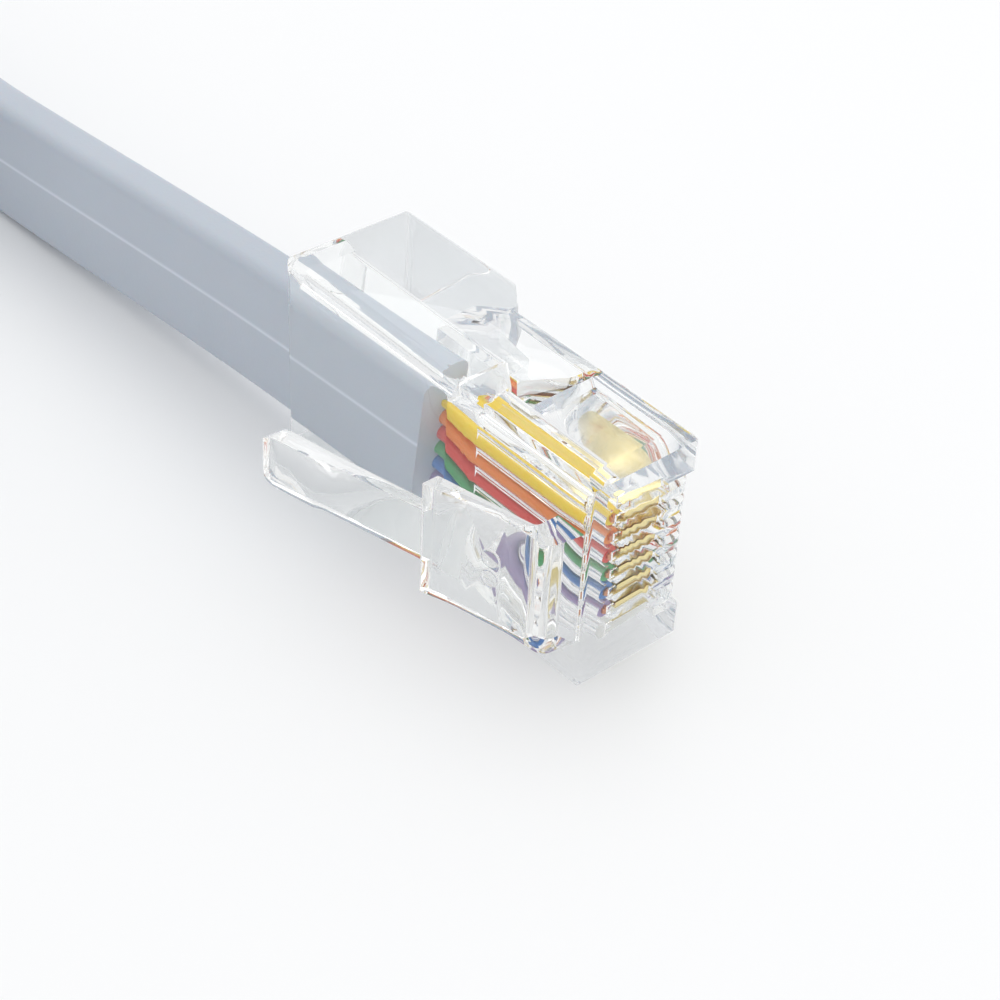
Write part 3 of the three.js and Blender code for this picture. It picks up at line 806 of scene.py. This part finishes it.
class Pattern(Graph):
    """A geometry node tree with named inputs, which ends in Realize Instances and Set Material."""

    def __init__(self, name: str, inputs: dict[str, tuple[str, object]]) -> None:
        """Starts the tree.

        Args:
            name: The tree's name.
            inputs: A socket type and a value for each input.
        """
        super().__init__(bpy.data.node_groups.new(name, "GeometryNodeTree"))
        face = self.tree.interface
        face.new_socket(name="Geometry", in_out="INPUT", socket_type="NodeSocketGeometry")
        self.values = {}
        for label, (kind, value) in inputs.items():
            socket = face.new_socket(name=label, in_out="INPUT", socket_type=kind)
            self.values[socket.identifier] = value
        finish = face.new_socket(name="Finish", in_out="INPUT", socket_type="NodeSocketMaterial")
        self.finish = finish.identifier
        face.new_socket(name="Geometry", in_out="OUTPUT", socket_type="NodeSocketGeometry")
        self.source = self.add("NodeGroupInput").outputs

    def close(self, geometry: bpy.types.NodeSocket) -> None:
        """Ends the tree.

        Args:
            geometry: The output that holds the instances.
        """
        real = self.feed(self.add("GeometryNodeRealizeInstances"), Geometry=geometry)
        painted = self.add("GeometryNodeSetMaterial")
        self.feed(painted, Geometry=real.outputs[0], Material=self.source["Finish"])
        self.tree.links.new(painted.outputs[0], self.add("NodeGroupOutput").inputs[0])

    def make(self, name: str, material: bpy.types.Material) -> bpy.types.Object:
        """Runs the tree on a new object and keeps the result as a plain mesh.

        Args:
            name: The new object's name.
            material: The instances' material.

        Returns:
            The new object.
        """
        made = linked(name, bpy.data.meshes.new(name))
        step = made.modifiers.new("pattern", "NODES")
        step.node_group = self.tree
        for identifier, value in self.values.items():
            step[identifier] = value
        step[self.finish] = material
        bake(made)
        made.data.name = name
        return made


def row_pattern(
    name: str, count: int, start: Vector, step: Vector, size: Vector, last: float = 1.0
) -> Pattern:
    """A row of small blocks, such as grip ribs.

    Args:
        name: The pattern's name.
        count: How many blocks there are.
        start: The first block's middle, in metres.
        step: From one block's middle to the next.
        size: The first block's sides.
        last: The last block's size, as a share of the first one's.

    Returns:
        The pattern.
    """
    pattern = Pattern(
        name,
        {
            "Count": ("NodeSocketInt", count),
            "Last Share": ("NodeSocketFloat", last),
            "Start": ("NodeSocketVector", tuple(start)),
            "Step": ("NodeSocketVector", tuple(step)),
            "Size": ("NodeSocketVector", tuple(size)),
        },
    )
    source = pattern.source
    line = pattern.add("GeometryNodeMeshLine")
    pattern.feed(line, Count=source["Count"], Start_Location=source["Start"], Offset=source["Step"])
    block = pattern.feed(pattern.add("GeometryNodeMeshCube"), Size=source["Size"])
    number = pattern.add("GeometryNodeInputIndex")
    share = pattern.add("ShaderNodeMapRange")
    pattern.feed(share, Value=number.outputs[0], To_Min=1.0, To_Max=source["Last Share"])
    share.inputs["From Max"].default_value = max(1, count - 1)
    placed = pattern.add("GeometryNodeInstanceOnPoints")
    pattern.feed(placed, Points=line.outputs[0], Instance=block.outputs[0], Scale=share.outputs[0])
    pattern.close(placed.outputs[0])
    return pattern


def bundle_pattern(name: str, middle: Vector, strand: float, length: float) -> Pattern:
    """Seven strands in a bundle along x, six round one.

    Args:
        name: The pattern's name.
        middle: The bundle's middle, in metres.
        strand: A strand's radius.
        length: The strands' length.

    Returns:
        The pattern.
    """
    pattern = Pattern(
        name,
        {
            "Middle": ("NodeSocketVector", tuple(middle)),
            "Strand": ("NodeSocketFloat", strand),
            "Length": ("NodeSocketFloat", length),
        },
    )
    source = pattern.source
    ring = pattern.add("GeometryNodeMeshCircle")
    pattern.feed(ring, Vertices=6, Radius=pattern.calc("MULTIPLY", source["Strand"], 2.0))
    heart = pattern.add("GeometryNodeMeshLine")
    pattern.feed(heart, Count=1)
    places = pattern.add("GeometryNodeJoinGeometry")
    for points in (ring, heart):
        pattern.tree.links.new(points.outputs[0], places.inputs[0])
    rod = pattern.add("GeometryNodeMeshCylinder")
    pattern.feed(rod, Vertices=10, Radius=source["Strand"], Depth=source["Length"])
    placed = pattern.add("GeometryNodeInstanceOnPoints")
    pattern.feed(placed, Points=places.outputs[0], Instance=rod.outputs[0])
    moved = pattern.add("GeometryNodeTransform")
    pattern.feed(moved, Geometry=placed.outputs[0], Translation=source["Middle"])
    pattern.feed(moved, Rotation=(0, math.pi / 2, 0))
    pattern.close(moved.outputs[0])
    return pattern


def sleeve_pattern(name: str, rows: Sequence[tuple[int, float]], pitch: float, at: Vector, bore: float,
                   wall: float, depth: float) -> Pattern:
    """Rows of short tubes along x, such as the sockets of a connector.

    Args:
        name: The pattern's name.
        rows: For each row, how many tubes it has and how high it is above the middle.
        pitch: From one tube to the next along y.
        at: The middle of all the tubes' mouths, in metres.
        bore: A tube's inner radius.
        wall: Its wall.
        depth: Its length.

    Returns:
        The pattern.
    """
    pattern = Pattern(
        name,
        {
            "Middle": ("NodeSocketVector", tuple(at)),
            "Bore": ("NodeSocketFloat", bore),
            "Wall": ("NodeSocketFloat", wall),
            "Depth": ("NodeSocketFloat", depth),
            "Pitch": ("NodeSocketFloat", pitch),
        },
    )
    source = pattern.source
    offset = pattern.add("ShaderNodeCombineXYZ")
    pattern.feed(offset, Y=source["Pitch"])
    shapes = []
    for radius in (pattern.calc("ADD", source["Bore"], source["Wall"]), source["Bore"]):
        rod = pattern.add("GeometryNodeMeshCylinder", fill_type="NONE")
        pattern.feed(rod, Vertices=20, Radius=radius, Depth=source["Depth"])
        shapes.append(rod.outputs[0])
    flipped = pattern.feed(pattern.add("GeometryNodeFlipFaces"), Mesh=shapes[1])
    tube = pattern.add("GeometryNodeJoinGeometry")
    for shape in (shapes[0], flipped.outputs[0]):
        pattern.tree.links.new(shape, tube.inputs[0])
    turned = pattern.add("GeometryNodeTransform")
    pattern.feed(turned, Geometry=tube.outputs[0], Rotation=(0, math.pi / 2, 0))
    joined = pattern.add("GeometryNodeJoinGeometry")
    for count, high in rows:
        line = pattern.add("GeometryNodeMeshLine")
        start = (0, -(count - 1) * pitch / 2, high)
        pattern.feed(line, Count=count, Start_Location=start, Offset=offset.outputs[0])
        pattern.tree.links.new(line.outputs[0], joined.inputs[0])
    placed = pattern.add("GeometryNodeInstanceOnPoints")
    pattern.feed(placed, Points=joined.outputs[0], Instance=turned.outputs[0])
    moved = pattern.add("GeometryNodeTransform")
    pattern.feed(moved, Geometry=placed.outputs[0], Translation=source["Middle"])
    pattern.close(moved.outputs[0])
    return pattern


# The plug


@dataclass
class Plug:
    """The clear moulding with its blades and wires. Lengths are in millimetres from the nose."""

    palette: Palette
    rear_top: float = 4.5
    edge: float = 0.07
    positions: int = 8
    loaded: tuple[int, ...] = (2, 3, 4, 5, 6, 7)
    pitch: float = 1.02
    blade_front: float = 0.62
    blade_length: float = 5.8
    blade_thickness: float = 0.36
    blade_top: float = 2.2
    blade_shoulder: float = 1.51
    blade_inside: float = 1.16
    tooth_length: float = 0.7
    tooth_depth: float = 0.5
    tooth_spacing: float = 2.0
    fit: float = 0.06
    wire: float = 0.86
    wire_y: float = -0.95
    jacket_y: float = -0.95
    jacket_end: float = 11.3
    jacket_rise: float = 0.35
    jacket_pitch: float = 0.93
    channel_mouth: float = 8.4
    wire_end: float = 1.45
    strand: float = 0.07
    marks: tuple[float, ...] = (0.69, -0.41)
    mark_x: float = -3.57
    mark_radius: float = 0.44
    mark_height: float = 0.07
    origin: Vector = field(init=False)

    def __post_init__(self) -> None:
        """Finds the middle of the nose."""
        span = Span.of("plug_housing")
        self.origin = Vector((span.high.x, span.high.y - self.rear_top * MM, span.middle.z))

    def at(self, x: float, y: float, z: float) -> Vector:
        """A point of the plug's own frame, in metres."""
        return self.origin + Vector((x, y, z)) * MM

    def position_z(self, position: int) -> float:
        """The middle of a contact position, counted from the top."""
        return ((self.positions + 1) / 2 - position) * self.pitch

    def build(self) -> None:
        """Builds all the pieces."""
        self.housing()
        for position, colour in zip(self.loaded, Insulation):
            self.blade(position)
            self.wire_piece(position, colour)

    def housing(self) -> bpy.types.Object:
        """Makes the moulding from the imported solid, with soft edges.

        Returns:
            The piece.
        """
        made = refined("plug_housing", "clear_moulding", self.edge * MM)
        for z in self.marks:
            self.mark(made, z)
        dress(shade(made), self.palette.by_slot[Slot.CLEAR])
        return place(made, ["plug_housing"])

    def mark(self, moulding: bpy.types.Object, z: float) -> None:
        """Joins a raised ring to the latch's outer face, as a mould's ejector pin leaves it.

        Args:
            moulding: The clear moulding.
            z: How high the ring is above the plug's middle.
        """
        start = self.at(self.mark_x, -self.rear_top * 3, z)
        hit, point, normal, _ = moulding.ray_cast(start, Vector((0, 1, 0)))
        if not hit:
            return
        up = Vector((0, 0, 1))
        side = normal.cross(up).normalized()
        rings: list[Ring] = []
        for i in range(40):
            turn = 2 * math.pi * i / 40
            out = side * math.cos(turn) + up * math.sin(turn)
            middle = point + out * self.mark_radius * MM
            rings.append(circle(middle, out, normal, self.mark_height * MM, 8))
        combine(moulding, loft("ring", rings, closed=True), "UNION")

    def blade(self, position: int) -> bpy.types.Object:
        """Makes one gold blade with two teeth.

        Args:
            position: Its contact position.

        Returns:
            The piece.
        """
        front, bottom = -self.blade_front, self.wire_y + self.wire / 2 + self.fit
        rear = front - self.blade_length
        half = self.tooth_length / 2
        middle = front - self.blade_length / 2
        corners = [(front, self.blade_shoulder), (front, self.blade_top, 0.5), (rear, self.blade_top, 0.3)]
        corners.append((rear, bottom))
        for tooth in (middle - self.tooth_spacing / 2, middle + self.tooth_spacing / 2):
            corners += [(tooth - half, bottom), (tooth, bottom - self.tooth_depth), (tooth + half, bottom)]
        corners += [(-self.blade_inside, bottom), (-self.blade_inside, self.blade_shoulder)]
        outline = [
            (self.origin.x + a * MM, self.origin.y + b * MM) for a, b in rounded(corners, 5)
        ]
        z = self.origin.z + self.position_z(position) * MM
        thin = self.blade_thickness * MM / 2
        made = prism(f"gold_blade_{position}", outline, z - thin, z + thin)
        soften(made, 0.03 * MM, 2)
        dress(made, self.palette.by_slot[Slot.GOLD])
        return place(made, [f"contact_{position}"])

    def wire_piece(self, position: int, colour: Insulation) -> bpy.types.Object:
        """Makes one insulated wire, with its bare strands showing at the cut end.

        Args:
            position: The contact position that it goes to.
            colour: Its insulation.

        Returns:
            The piece.
        """
        middle = (self.loaded[0] + self.loaded[-1]) / 2
        jacket_z = (middle - position) * self.jacket_pitch + self.jacket_rise
        z = self.position_z(position)
        start, mouth = -self.jacket_end - 1.0, -self.channel_mouth
        points = [
            self.at(start, self.jacket_y, jacket_z),
            self.at(start + 1.2, self.jacket_y, jacket_z),
            self.at(mouth - 0.6, self.wire_y, z),
            self.at(mouth, self.wire_y, z),
        ]
        route = smooth_route(points, 8) + [
            self.at(-self.wire_end - share * (self.channel_mouth - self.wire_end), self.wire_y, z)
            for share in (0.66, 0.33, 0)
        ]
        side, up = Vector((0, 1, 0)), Vector((0, 0, 1))
        rings = [circle(p, side, up, self.wire * MM / 2, 20) for p in route]
        made = shade(loft(f"wire_{colour.name.lower()}_sleeve", rings), 50)
        dress(made, self.palette.wires[colour])
        end = self.at(-self.wire_end + 0.04, self.wire_y, z)
        strands = bundle_pattern(f"strands {position}", end, self.strand * MM, 0.2 * MM)
        bare = strands.make(f"strands_{position}", self.palette.copper)
        name = f"insulated_wire_{position}"
        return place(merge(name, [made, bare]), [f"wire_{position}"])


def smooth_route(points: Sequence[Vector], steps: int) -> list[Vector]:
    """Runs a smooth curve through points.

    Args:
        points: The points, in order.
        steps: How many stretches lie between each two.

    Returns:
        The curve's points.
    """
    ends = [points[0] * 2 - points[1], *points, points[-1] * 2 - points[-2]]
    out = [points[0].copy()]
    for i in range(1, len(ends) - 2):
        a, b, c, d = ends[i - 1 : i + 3]
        for step in range(1, steps + 1):
            t = step / steps
            square = (2 * a - 5 * b + 4 * c - d) * t**2
            cube = (3 * b - a - 3 * c + d) * t**3
            out.append(0.5 * ((2 * b) + (c - a) * t + square + cube))
    return out


# The cable


@dataclass
class FlatCable:
    """The flat cable: its run, its coil and its tail as one cord. Lengths are in millimetres."""

    palette: Palette
    plug: Plug
    width: float = 7.5
    thickness: float = 2.4
    corner: float = 0.7
    sway: float = 0.75
    slope: float = 0.85
    clearance: float = 0.3
    pitch: float = 2.725
    slack: float = 0.9
    full_turns: int = 5
    lands: float = 51.0
    leaves: float = 60.0
    floor_gap: float = 0.05
    bend: float = 15.5
    seam_low: float = 0.3
    seam_width: float = 0.16
    entry: float = 50.0
    turn_steps: int = 72
    bend_steps: int = 14

    def __post_init__(self) -> None:
        """Finds the coil's and the connector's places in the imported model."""
        coil = Span.of("cable_coil")
        hood = Span.of("connector_hood")
        self.coil = coil.middle / MM
        self.outer = coil.size.x / 2 / MM
        self.lift = coil.low.z / MM
        self.run = Span.of("cable_run")
        self.tail = Span.of("cable_tail")
        self.connector_y = hood.middle.y / MM - self.coil.y
        self.hood_z = hood.middle.z / MM

    def height(self, back: float) -> float:
        """How high the cable's middle is on the run, at a distance behind the nose."""
        top = self.plug.origin.z / MM + self.plug.jacket_rise
        low = self.width / 2 + self.floor_gap
        fall = min(1.0, max(0.0, (back - self.plug.jacket_end) / (self.lands - self.plug.jacket_end)))
        coil_back = self.plug.origin.x / MM - self.coil.x
        climb = ease((back - self.leaves) / (coil_back - self.leaves))
        return top + (low - top) * fall + (self.lift - self.floor_gap) * climb

    def route(self) -> list[Vector]:
        """The cable's middle line from the plug to the connector, in metres."""
        nose = self.plug.origin.x / MM
        y = (self.run.low.y + self.run.high.y) / 2 / MM
        coil_back = nose - self.coil.x
        backs = [self.plug.jacket_end, 15.3, 21.5, 27.3, 35.3, 45.3, self.lands, 55.3, self.leaves, 68, 77]
        rear = Span.of("plug_housing").size.x / MM
        run = []
        for back in backs:
            share = max(0.0, (back - rear) / (coil_back - rear))
            bow = self.sway * math.sin(math.pi * share) ** 2
            run.append(Vector((nose - back, y - bow, self.height(back))))
        run.append(Vector((self.coil.x, y, self.height(coil_back))))
        points = smooth_route(run, 4)
        bend_y = self.connector_y + self.bend
        bend_x = -math.sqrt((self.tail_radius() - self.bend) ** 2 - bend_y**2)
        leave = math.atan2(bend_y, bend_x)
        turns = self.full_turns + (leave - math.pi / 2) / (2 * math.pi)
        steps = int(turns * self.turn_steps)
        low = self.lift + self.width / 2
        step_out = self.clearance + self.thickness
        for i in range(1, steps + 1):
            turn = turns * i / steps
            radius = self.outer - self.thickness / 2 - self.slack - self.pitch * turn
            radius += (step_out + self.slack) * (1 - ease(turn * 360 / self.entry))
            radius -= step_out * ease(1 - (turns - turn) * 360 / self.entry)
            angle = math.pi / 2 + 2 * math.pi * turn
            x = self.coil.x + radius * math.cos(angle)
            y = self.coil.y + radius * math.sin(angle)
            points.append(Vector((x, y, low)))
        LOG.info("turns %.2f, last radius %.2f and %.2f mm", turns, radius, self.tail_radius())
        count = self.bend_steps
        for i in range(1, count + 1):
            angle = leave + (1.5 * math.pi - leave) * i / count
            x = self.coil.x + bend_x + self.bend * math.cos(angle)
            z = low + (self.hood_z - low) * i / count
            points.append(Vector((x, self.coil.y + bend_y + self.bend * math.sin(angle), z)))
        end = self.tail.high.x / MM
        start = self.coil.x + bend_x
        for i in range(1, 4):
            x = start + (end - start) * i / 3
            points.append(Vector((x, self.coil.y + self.connector_y, self.hood_z)))
        return [p * MM for p in points]

    def tail_radius(self) -> float:
        """The radius where the tail leaves the coil's inside."""
        bend_y = self.connector_y + self.bend
        bend_x = self.tail.low.x / MM + self.thickness / 2 + self.bend - self.coil.x
        return math.hypot(bend_x, bend_y) + self.bend

    def section(self) -> Outline:
        """The jacket's section, thickness by width, with a fine seam on its latch side."""
        corners = rectangle(self.thickness, self.width, self.corner)
        outline = rounded(corners, 6)
        seam_and_highlight = []
        for b in (self.seam_width, 0.0, -self.seam_width):
            seam_and_highlight.append((-self.thickness / 2 - (0.02 if b == 0 else 0.0), self.seam_low + b))
        return outline[:-1] + [outline[-1], *seam_and_highlight]

    def build(self) -> bpy.types.Object:
        """Makes the cable.

        Returns:
            The piece.
        """
        route = self.route()
        section = self.section()
        rings: list[Ring] = []
        for i, point in enumerate(route):
            along = route[min(i + 1, len(route) - 1)] - route[max(i - 1, 0)]
            across = Vector((-along.y, along.x, 0)).normalized()
            rings.append([point - across * a * MM + Vector((0, 0, b * MM)) for a, b in section])
        for place_in_ring, (_, b) in enumerate(section):
            rings[0][place_in_ring] += Vector((-1, 0, 0)) * self.slope * MM * (0.5 - b / self.width)
        made = shade(loft("flat_cable", rings), 40)
        # painted highlight: the seam's outermost vertex is marked 1, and the jacket material paints it paler
        # there
        highlight_mask = made.data.attributes.new("seam_and_highlight", "FLOAT", "POINT")
        ridge = section.index(min(section, key=lambda p: p[0]))
        values = [1.0 if i % len(section) == ridge else 0.0 for i in range(len(made.data.vertices))]
        highlight_mask.data.foreach_set("value", values)
        dress(made, self.palette.by_slot[Slot.JACKET])
        place(made, ["cable_run", "cable_coil", "cable_tail"])
        rear = Span.of("plug_housing").low.x
        return made


def ease(share: float) -> float:
    """A smooth step from 0 at share 0 to 1 at share 1."""
    held = min(1.0, max(0.0, share))
    return held * held * (3 - 2 * held)


# The connector


@dataclass
class Connector:
    """The moulded serial connector at the cable's end. Lengths are in millimetres."""

    palette: Palette
    boot: float = 8.0
    ribs: int = 4
    rib: float = 0.8
    rib_pitch: float = 1.7
    rib_width: float = 7.9
    rib_height: float = 12.6
    rib_start: float = 1.4
    rib_taper: float = 0.87
    grips: int = 6
    grip: float = 0.9
    grip_pitch: float = 1.8
    grip_height: float = 8.6
    grip_proud: float = 0.35
    grip_start: float = 3.6
    groove: float = 0.3
    groove_share: float = 0.982
    pin_pitch: float = 2.77
    pin_rows: float = 2.84
    sleeve: float = 0.59
    sleeve_wall: float = 0.13
    sleeve_depth: float = 3.4
    sleeve_set_in: float = 0.3
    nut_bore: float = 1.3
    thread_pitch: float = 0.64
    thread_depth: float = 0.2
    threads: int = 6
    thread_inset: float = 0.1
    thread_seat: float = 0.02

    def build(self) -> None:
        """Builds all the pieces."""
        self.hood()
        self.shell()
        self.insert()
        for number in (1, 2):
            self.nut(number)

    def hood(self) -> bpy.types.Object:
        """Makes the hood with its parting line, its grips and its ribbed boot.

        Returns:
            The piece.
        """
        span = Span.of("connector_hood")
        made = refined("connector_hood", "hood_body", 0.45 * MM, 30)
        self.part_line(made, span)
        material = self.palette.by_slot[Slot.HOOD]
        parts = [dress(made, material)]
        body = span.low.x + self.boot * MM
        middle = span.middle
        first = Vector((span.high.x - self.grip_start * MM, 0, middle.z))
        size = Vector((self.grip, 2 * self.grip_proud, self.grip_height)) * MM
        step = Vector((-self.grip_pitch * MM, 0, 0))
        for name, y in (("left", span.low.y), ("right", span.high.y)):
            first.y = y
            row = row_pattern(f"{name} grips", self.grips, first, step, size)
            parts.append(soften(row.make(f"{name}_grips", material), 0.2 * MM, 2))
        size = Vector((self.rib, self.rib_width, self.rib_height)) * MM
        first = Vector((body - self.rib_start * MM, middle.y, middle.z))
        step = Vector((-self.rib_pitch * MM, 0, 0))
        row = row_pattern("boot ribs", self.ribs, first, step, size, self.rib_taper)
        parts.append(soften(row.make("boot_ribs", material), 0.3 * MM, 3))
        return place(merge("moulded_hood", parts), ["connector_hood"])

    def part_line(self, hood: bpy.types.Object, span: Span) -> None:
        """Cuts the line where the mould's halves met round the hood's body.

        Args:
            hood: The hood.
            span: Its box.
        """
        middle = span.middle
        reach = rectangle(span.size.x + 2 * MM, span.size.y + 2 * MM)
        outline = [(a + middle.x + self.boot * MM, b + middle.y) for a, b, _ in reach]
        half = self.groove * MM / 2
        ring = prism("groove", outline, middle.z - half, middle.z + half)
        core = linked("core", bpy.data.objects["connector_hood"].data.copy())
        tidy_mesh(core.data)
        heart = Vector((middle.x + self.boot * MM / 2, middle.y, middle.z))
        for vertex in core.data.vertices:
            vertex.co = heart + (vertex.co - heart) * self.groove_share
        combine(hood, combine(ring, core))
        shade(hood)

    def shell(self) -> bpy.types.Object:
        """Makes the pressed shell and flange."""
        made = refined("connector_shell", "nickel_shell", 0.12 * MM, 30)
        dress(made, self.palette.by_slot[Slot.NICKEL])
        return place(made, ["connector_shell"])

    def insert(self) -> None:
        """Makes the insulator and its gold sockets."""
        made = refined("connector_insert", "black_insert", 0.1 * MM, 30)
        dress(made, self.palette.by_slot[Slot.INSERT])
        place(made, ["connector_insert"])
        span = Span.of("connector_insert")
        back = (self.sleeve_set_in + self.sleeve_depth / 2) * MM
        at = Vector((span.high.x - back, span.middle.y, span.middle.z))
        half = self.pin_rows / 2 * MM
        inner = (self.sleeve - self.sleeve_wall) * MM
        rows = sleeve_pattern(
            "sockets", [(5, half), (4, -half)], self.pin_pitch * MM, at, inner,
            self.sleeve_wall * MM, self.sleeve_depth * MM,
        )
        sockets = shade(rows.make("gold_sockets", self.palette.by_slot[Slot.GOLD]))
        place(sockets)

    def nut(self, number: int) -> bpy.types.Object:
        """Makes one jack nut with the thread in its bore.

        Args:
            number: The nut's number.

        Returns:
            The piece.
        """
        node = f"jack_nut_{number}"
        span = Span.of(node)
        made = refined(node, f"hex_{number}", 0.22 * MM, 30)
        material = self.palette.by_slot[Slot.NICKEL]
        mouth_x, root = -self.thread_inset, self.nut_bore - self.thread_seat
        outer, inner = self.nut_bore + self.thread_seat, self.nut_bore - self.thread_depth
        profile = [(mouth_x, outer), (mouth_x - self.threads * self.thread_pitch, outer)]
        for i in range(self.threads, 0, -1):
            profile.append((mouth_x - i * self.thread_pitch, root))
            profile.append((mouth_x - (i - 0.5) * self.thread_pitch, inner))
        profile.append((mouth_x, root))
        mouth = Vector((span.high.x, span.middle.y, span.middle.z))
        thread = lathe(f"thread_{number}", [(x * MM, r * MM) for x, r in profile], mouth)
        dress(made, material)
        dress(shade(thread, 30), material)
        return place(merge(f"nickel_nut_{number}", [made, thread]), [node])


@dataclass
class CoilTie:
    """The hook-and-loop strap round the coil. Lengths are in millimetres."""

    palette: Palette
    turn: float = -100.0
    lap: float = 10.5
    lap_width: float = 6.6
    lap_thickness: float = 0.9
    lap_round: float = 2.4
    lap_shift: float = 1.6

    def build(self) -> bpy.types.Object:
        """Makes the strap with its lapped end.

        Returns:
            The piece.
        """
        material = self.palette.by_slot[Slot.TIE]
        made = dress(refined("coil_tie", "strap_loop", 0.15 * MM, 30), material)
        span = Span.of("coil_tie")
        corners = rectangle(self.lap, self.lap_width, self.lap_round)
        corners[0] = (*corners[0][:2], 0.3)
        corners[3] = (*corners[3][:2], 0.3)
        spin = Matrix.Rotation(math.radians(self.turn), 2)
        outline = []
        for a, b in rounded(corners, 6):
            point = spin @ Vector((a + self.lap_shift, b))
            outline.append((span.middle.x + point.x * MM, span.middle.y + point.y * MM))
        low = span.high.z - 0.2 * MM
        lap = prism("strap_end", outline, low, low + self.lap_thickness * MM)
        dress(soften(lap, 0.2 * MM, 3), material)
        return place(merge("hook_and_loop_strap", [made, lap]), ["coil_tie"])


# The studio


@dataclass
class Studio:
    """The pale table top, the soft light and the camera. Lengths are in metres."""

    camera_place: Vector = Vector((0.05861, -0.04985, 0.06576))
    camera_back: Vector = Vector((0.575, -0.524, 0.628))
    camera_roll: float = 3.27
    lens: float = 76.7
    floor_size: float = 6.0
    floor_colour: tuple[float, float, float] = (0.9, 0.905, 0.91)
    horizon: tuple[float, float, float] = (0.86, 0.87, 0.89)
    zenith: tuple[float, float, float] = (1.0, 1.0, 1.0)
    sky: float = 0.92
    key_power: float = 1.6
    fill_power: float = 0.5
    bounces: int = 32

    def build(self) -> None:
        """Builds the camera, the floor and the lights."""
        self.camera()
        self.floor()
        self.world()
        self.lamp("key_light", (-0.25, 0.35, 0.75), 0.7, self.key_power)
        self.lamp("fill_light", (0.7, 0.2, 0.5), 0.6, self.fill_power)
        scene = bpy.context.scene
        scene.view_settings.view_transform = "Standard"
        scene.cycles.max_bounces = self.bounces
        scene.cycles.transmission_bounces = self.bounces
        scene.cycles.glossy_bounces = self.bounces

    def camera(self) -> None:
        """Puts the camera where the photograph was taken from."""
        data = bpy.data.cameras.new("camera")
        data.lens = self.lens
        data.sensor_width = 36
        data.clip_start = 0.005
        made = linked("camera", data)
        turn = (-self.camera_back).to_track_quat("-Z", "Y").to_matrix()
        made.matrix_world = Matrix.Translation(self.camera_place) @ (
            turn @ Matrix.Rotation(math.radians(self.camera_roll), 3, "Z")
        ).to_4x4()
        bpy.context.scene.camera = made

    def floor(self) -> None:
        """Makes the table top."""
        half = self.floor_size / 2
        corners = [(-half, -half, 0), (half, -half, 0), (half, half, 0), (-half, half, 0)]
        data = bpy.data.meshes.new("table_top")
        data.from_pydata(corners, [], [(0, 1, 2, 3)])
        made = linked("table_top", data)
        material = bpy.data.materials.new("pale table")
        material.use_nodes = True
        surface = material.node_tree.nodes["Principled BSDF"]
        surface.inputs["Base Color"].default_value = (*self.floor_colour, 1)
        surface.inputs["Roughness"].default_value = 0.6
        dress(made, material)

    def world(self) -> None:
        """Lights the scene from all round, a little darker towards the horizon."""
        world = bpy.data.worlds.new("studio")
        world.use_nodes = True
        bpy.context.scene.world = world
        graph = Graph(world.node_tree)
        way = graph.add("ShaderNodeTexCoord").outputs["Generated"]
        parts = graph.feed(graph.add("ShaderNodeSeparateXYZ"), Vector=way)
        ramp = graph.add("ShaderNodeValToRGB")
        graph.feed(ramp, Fac=parts.outputs["Z"])
        ramp.color_ramp.elements[0].position = 0.0
        ramp.color_ramp.elements[0].color = (*self.horizon, 1)
        ramp.color_ramp.elements[1].position = 0.75
        ramp.color_ramp.elements[1].color = (*self.zenith, 1)
        shine = world.node_tree.nodes["Background"]
        graph.feed(shine, Color=ramp.outputs["Color"], Strength=self.sky)

    @staticmethod
    def lamp(name: str, where: Sequence[float], size: float, power: float) -> None:
        """Adds a soft square lamp that faces the origin.

        Args:
            name: The lamp's name.
            where: Its place.
            size: The length of its side.
            power: Its power in watts.
        """
        data = bpy.data.lights.new(name, "AREA")
        data.size = size
        data.energy = power
        made = linked(name, data)
        made.location = where
        made.rotation_euler = (-Vector(where)).to_track_quat("-Z", "Y").to_euler()


def main() -> None:
    """Builds the adapter and its studio in order."""
    logging.basicConfig(level=logging.INFO, format="%(name)s: %(message)s")
    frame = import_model()
    Studio().build()
    palette = Palette()
    plug = Plug(palette)
    FlatCable(palette, plug).build()
    plug.build()
    Connector(palette).build()
    CoilTie(palette).build()
    LOG.info("%d packed nodes are dressed", len(frame["nodes"]))


if __name__ == "__main__":
    main()
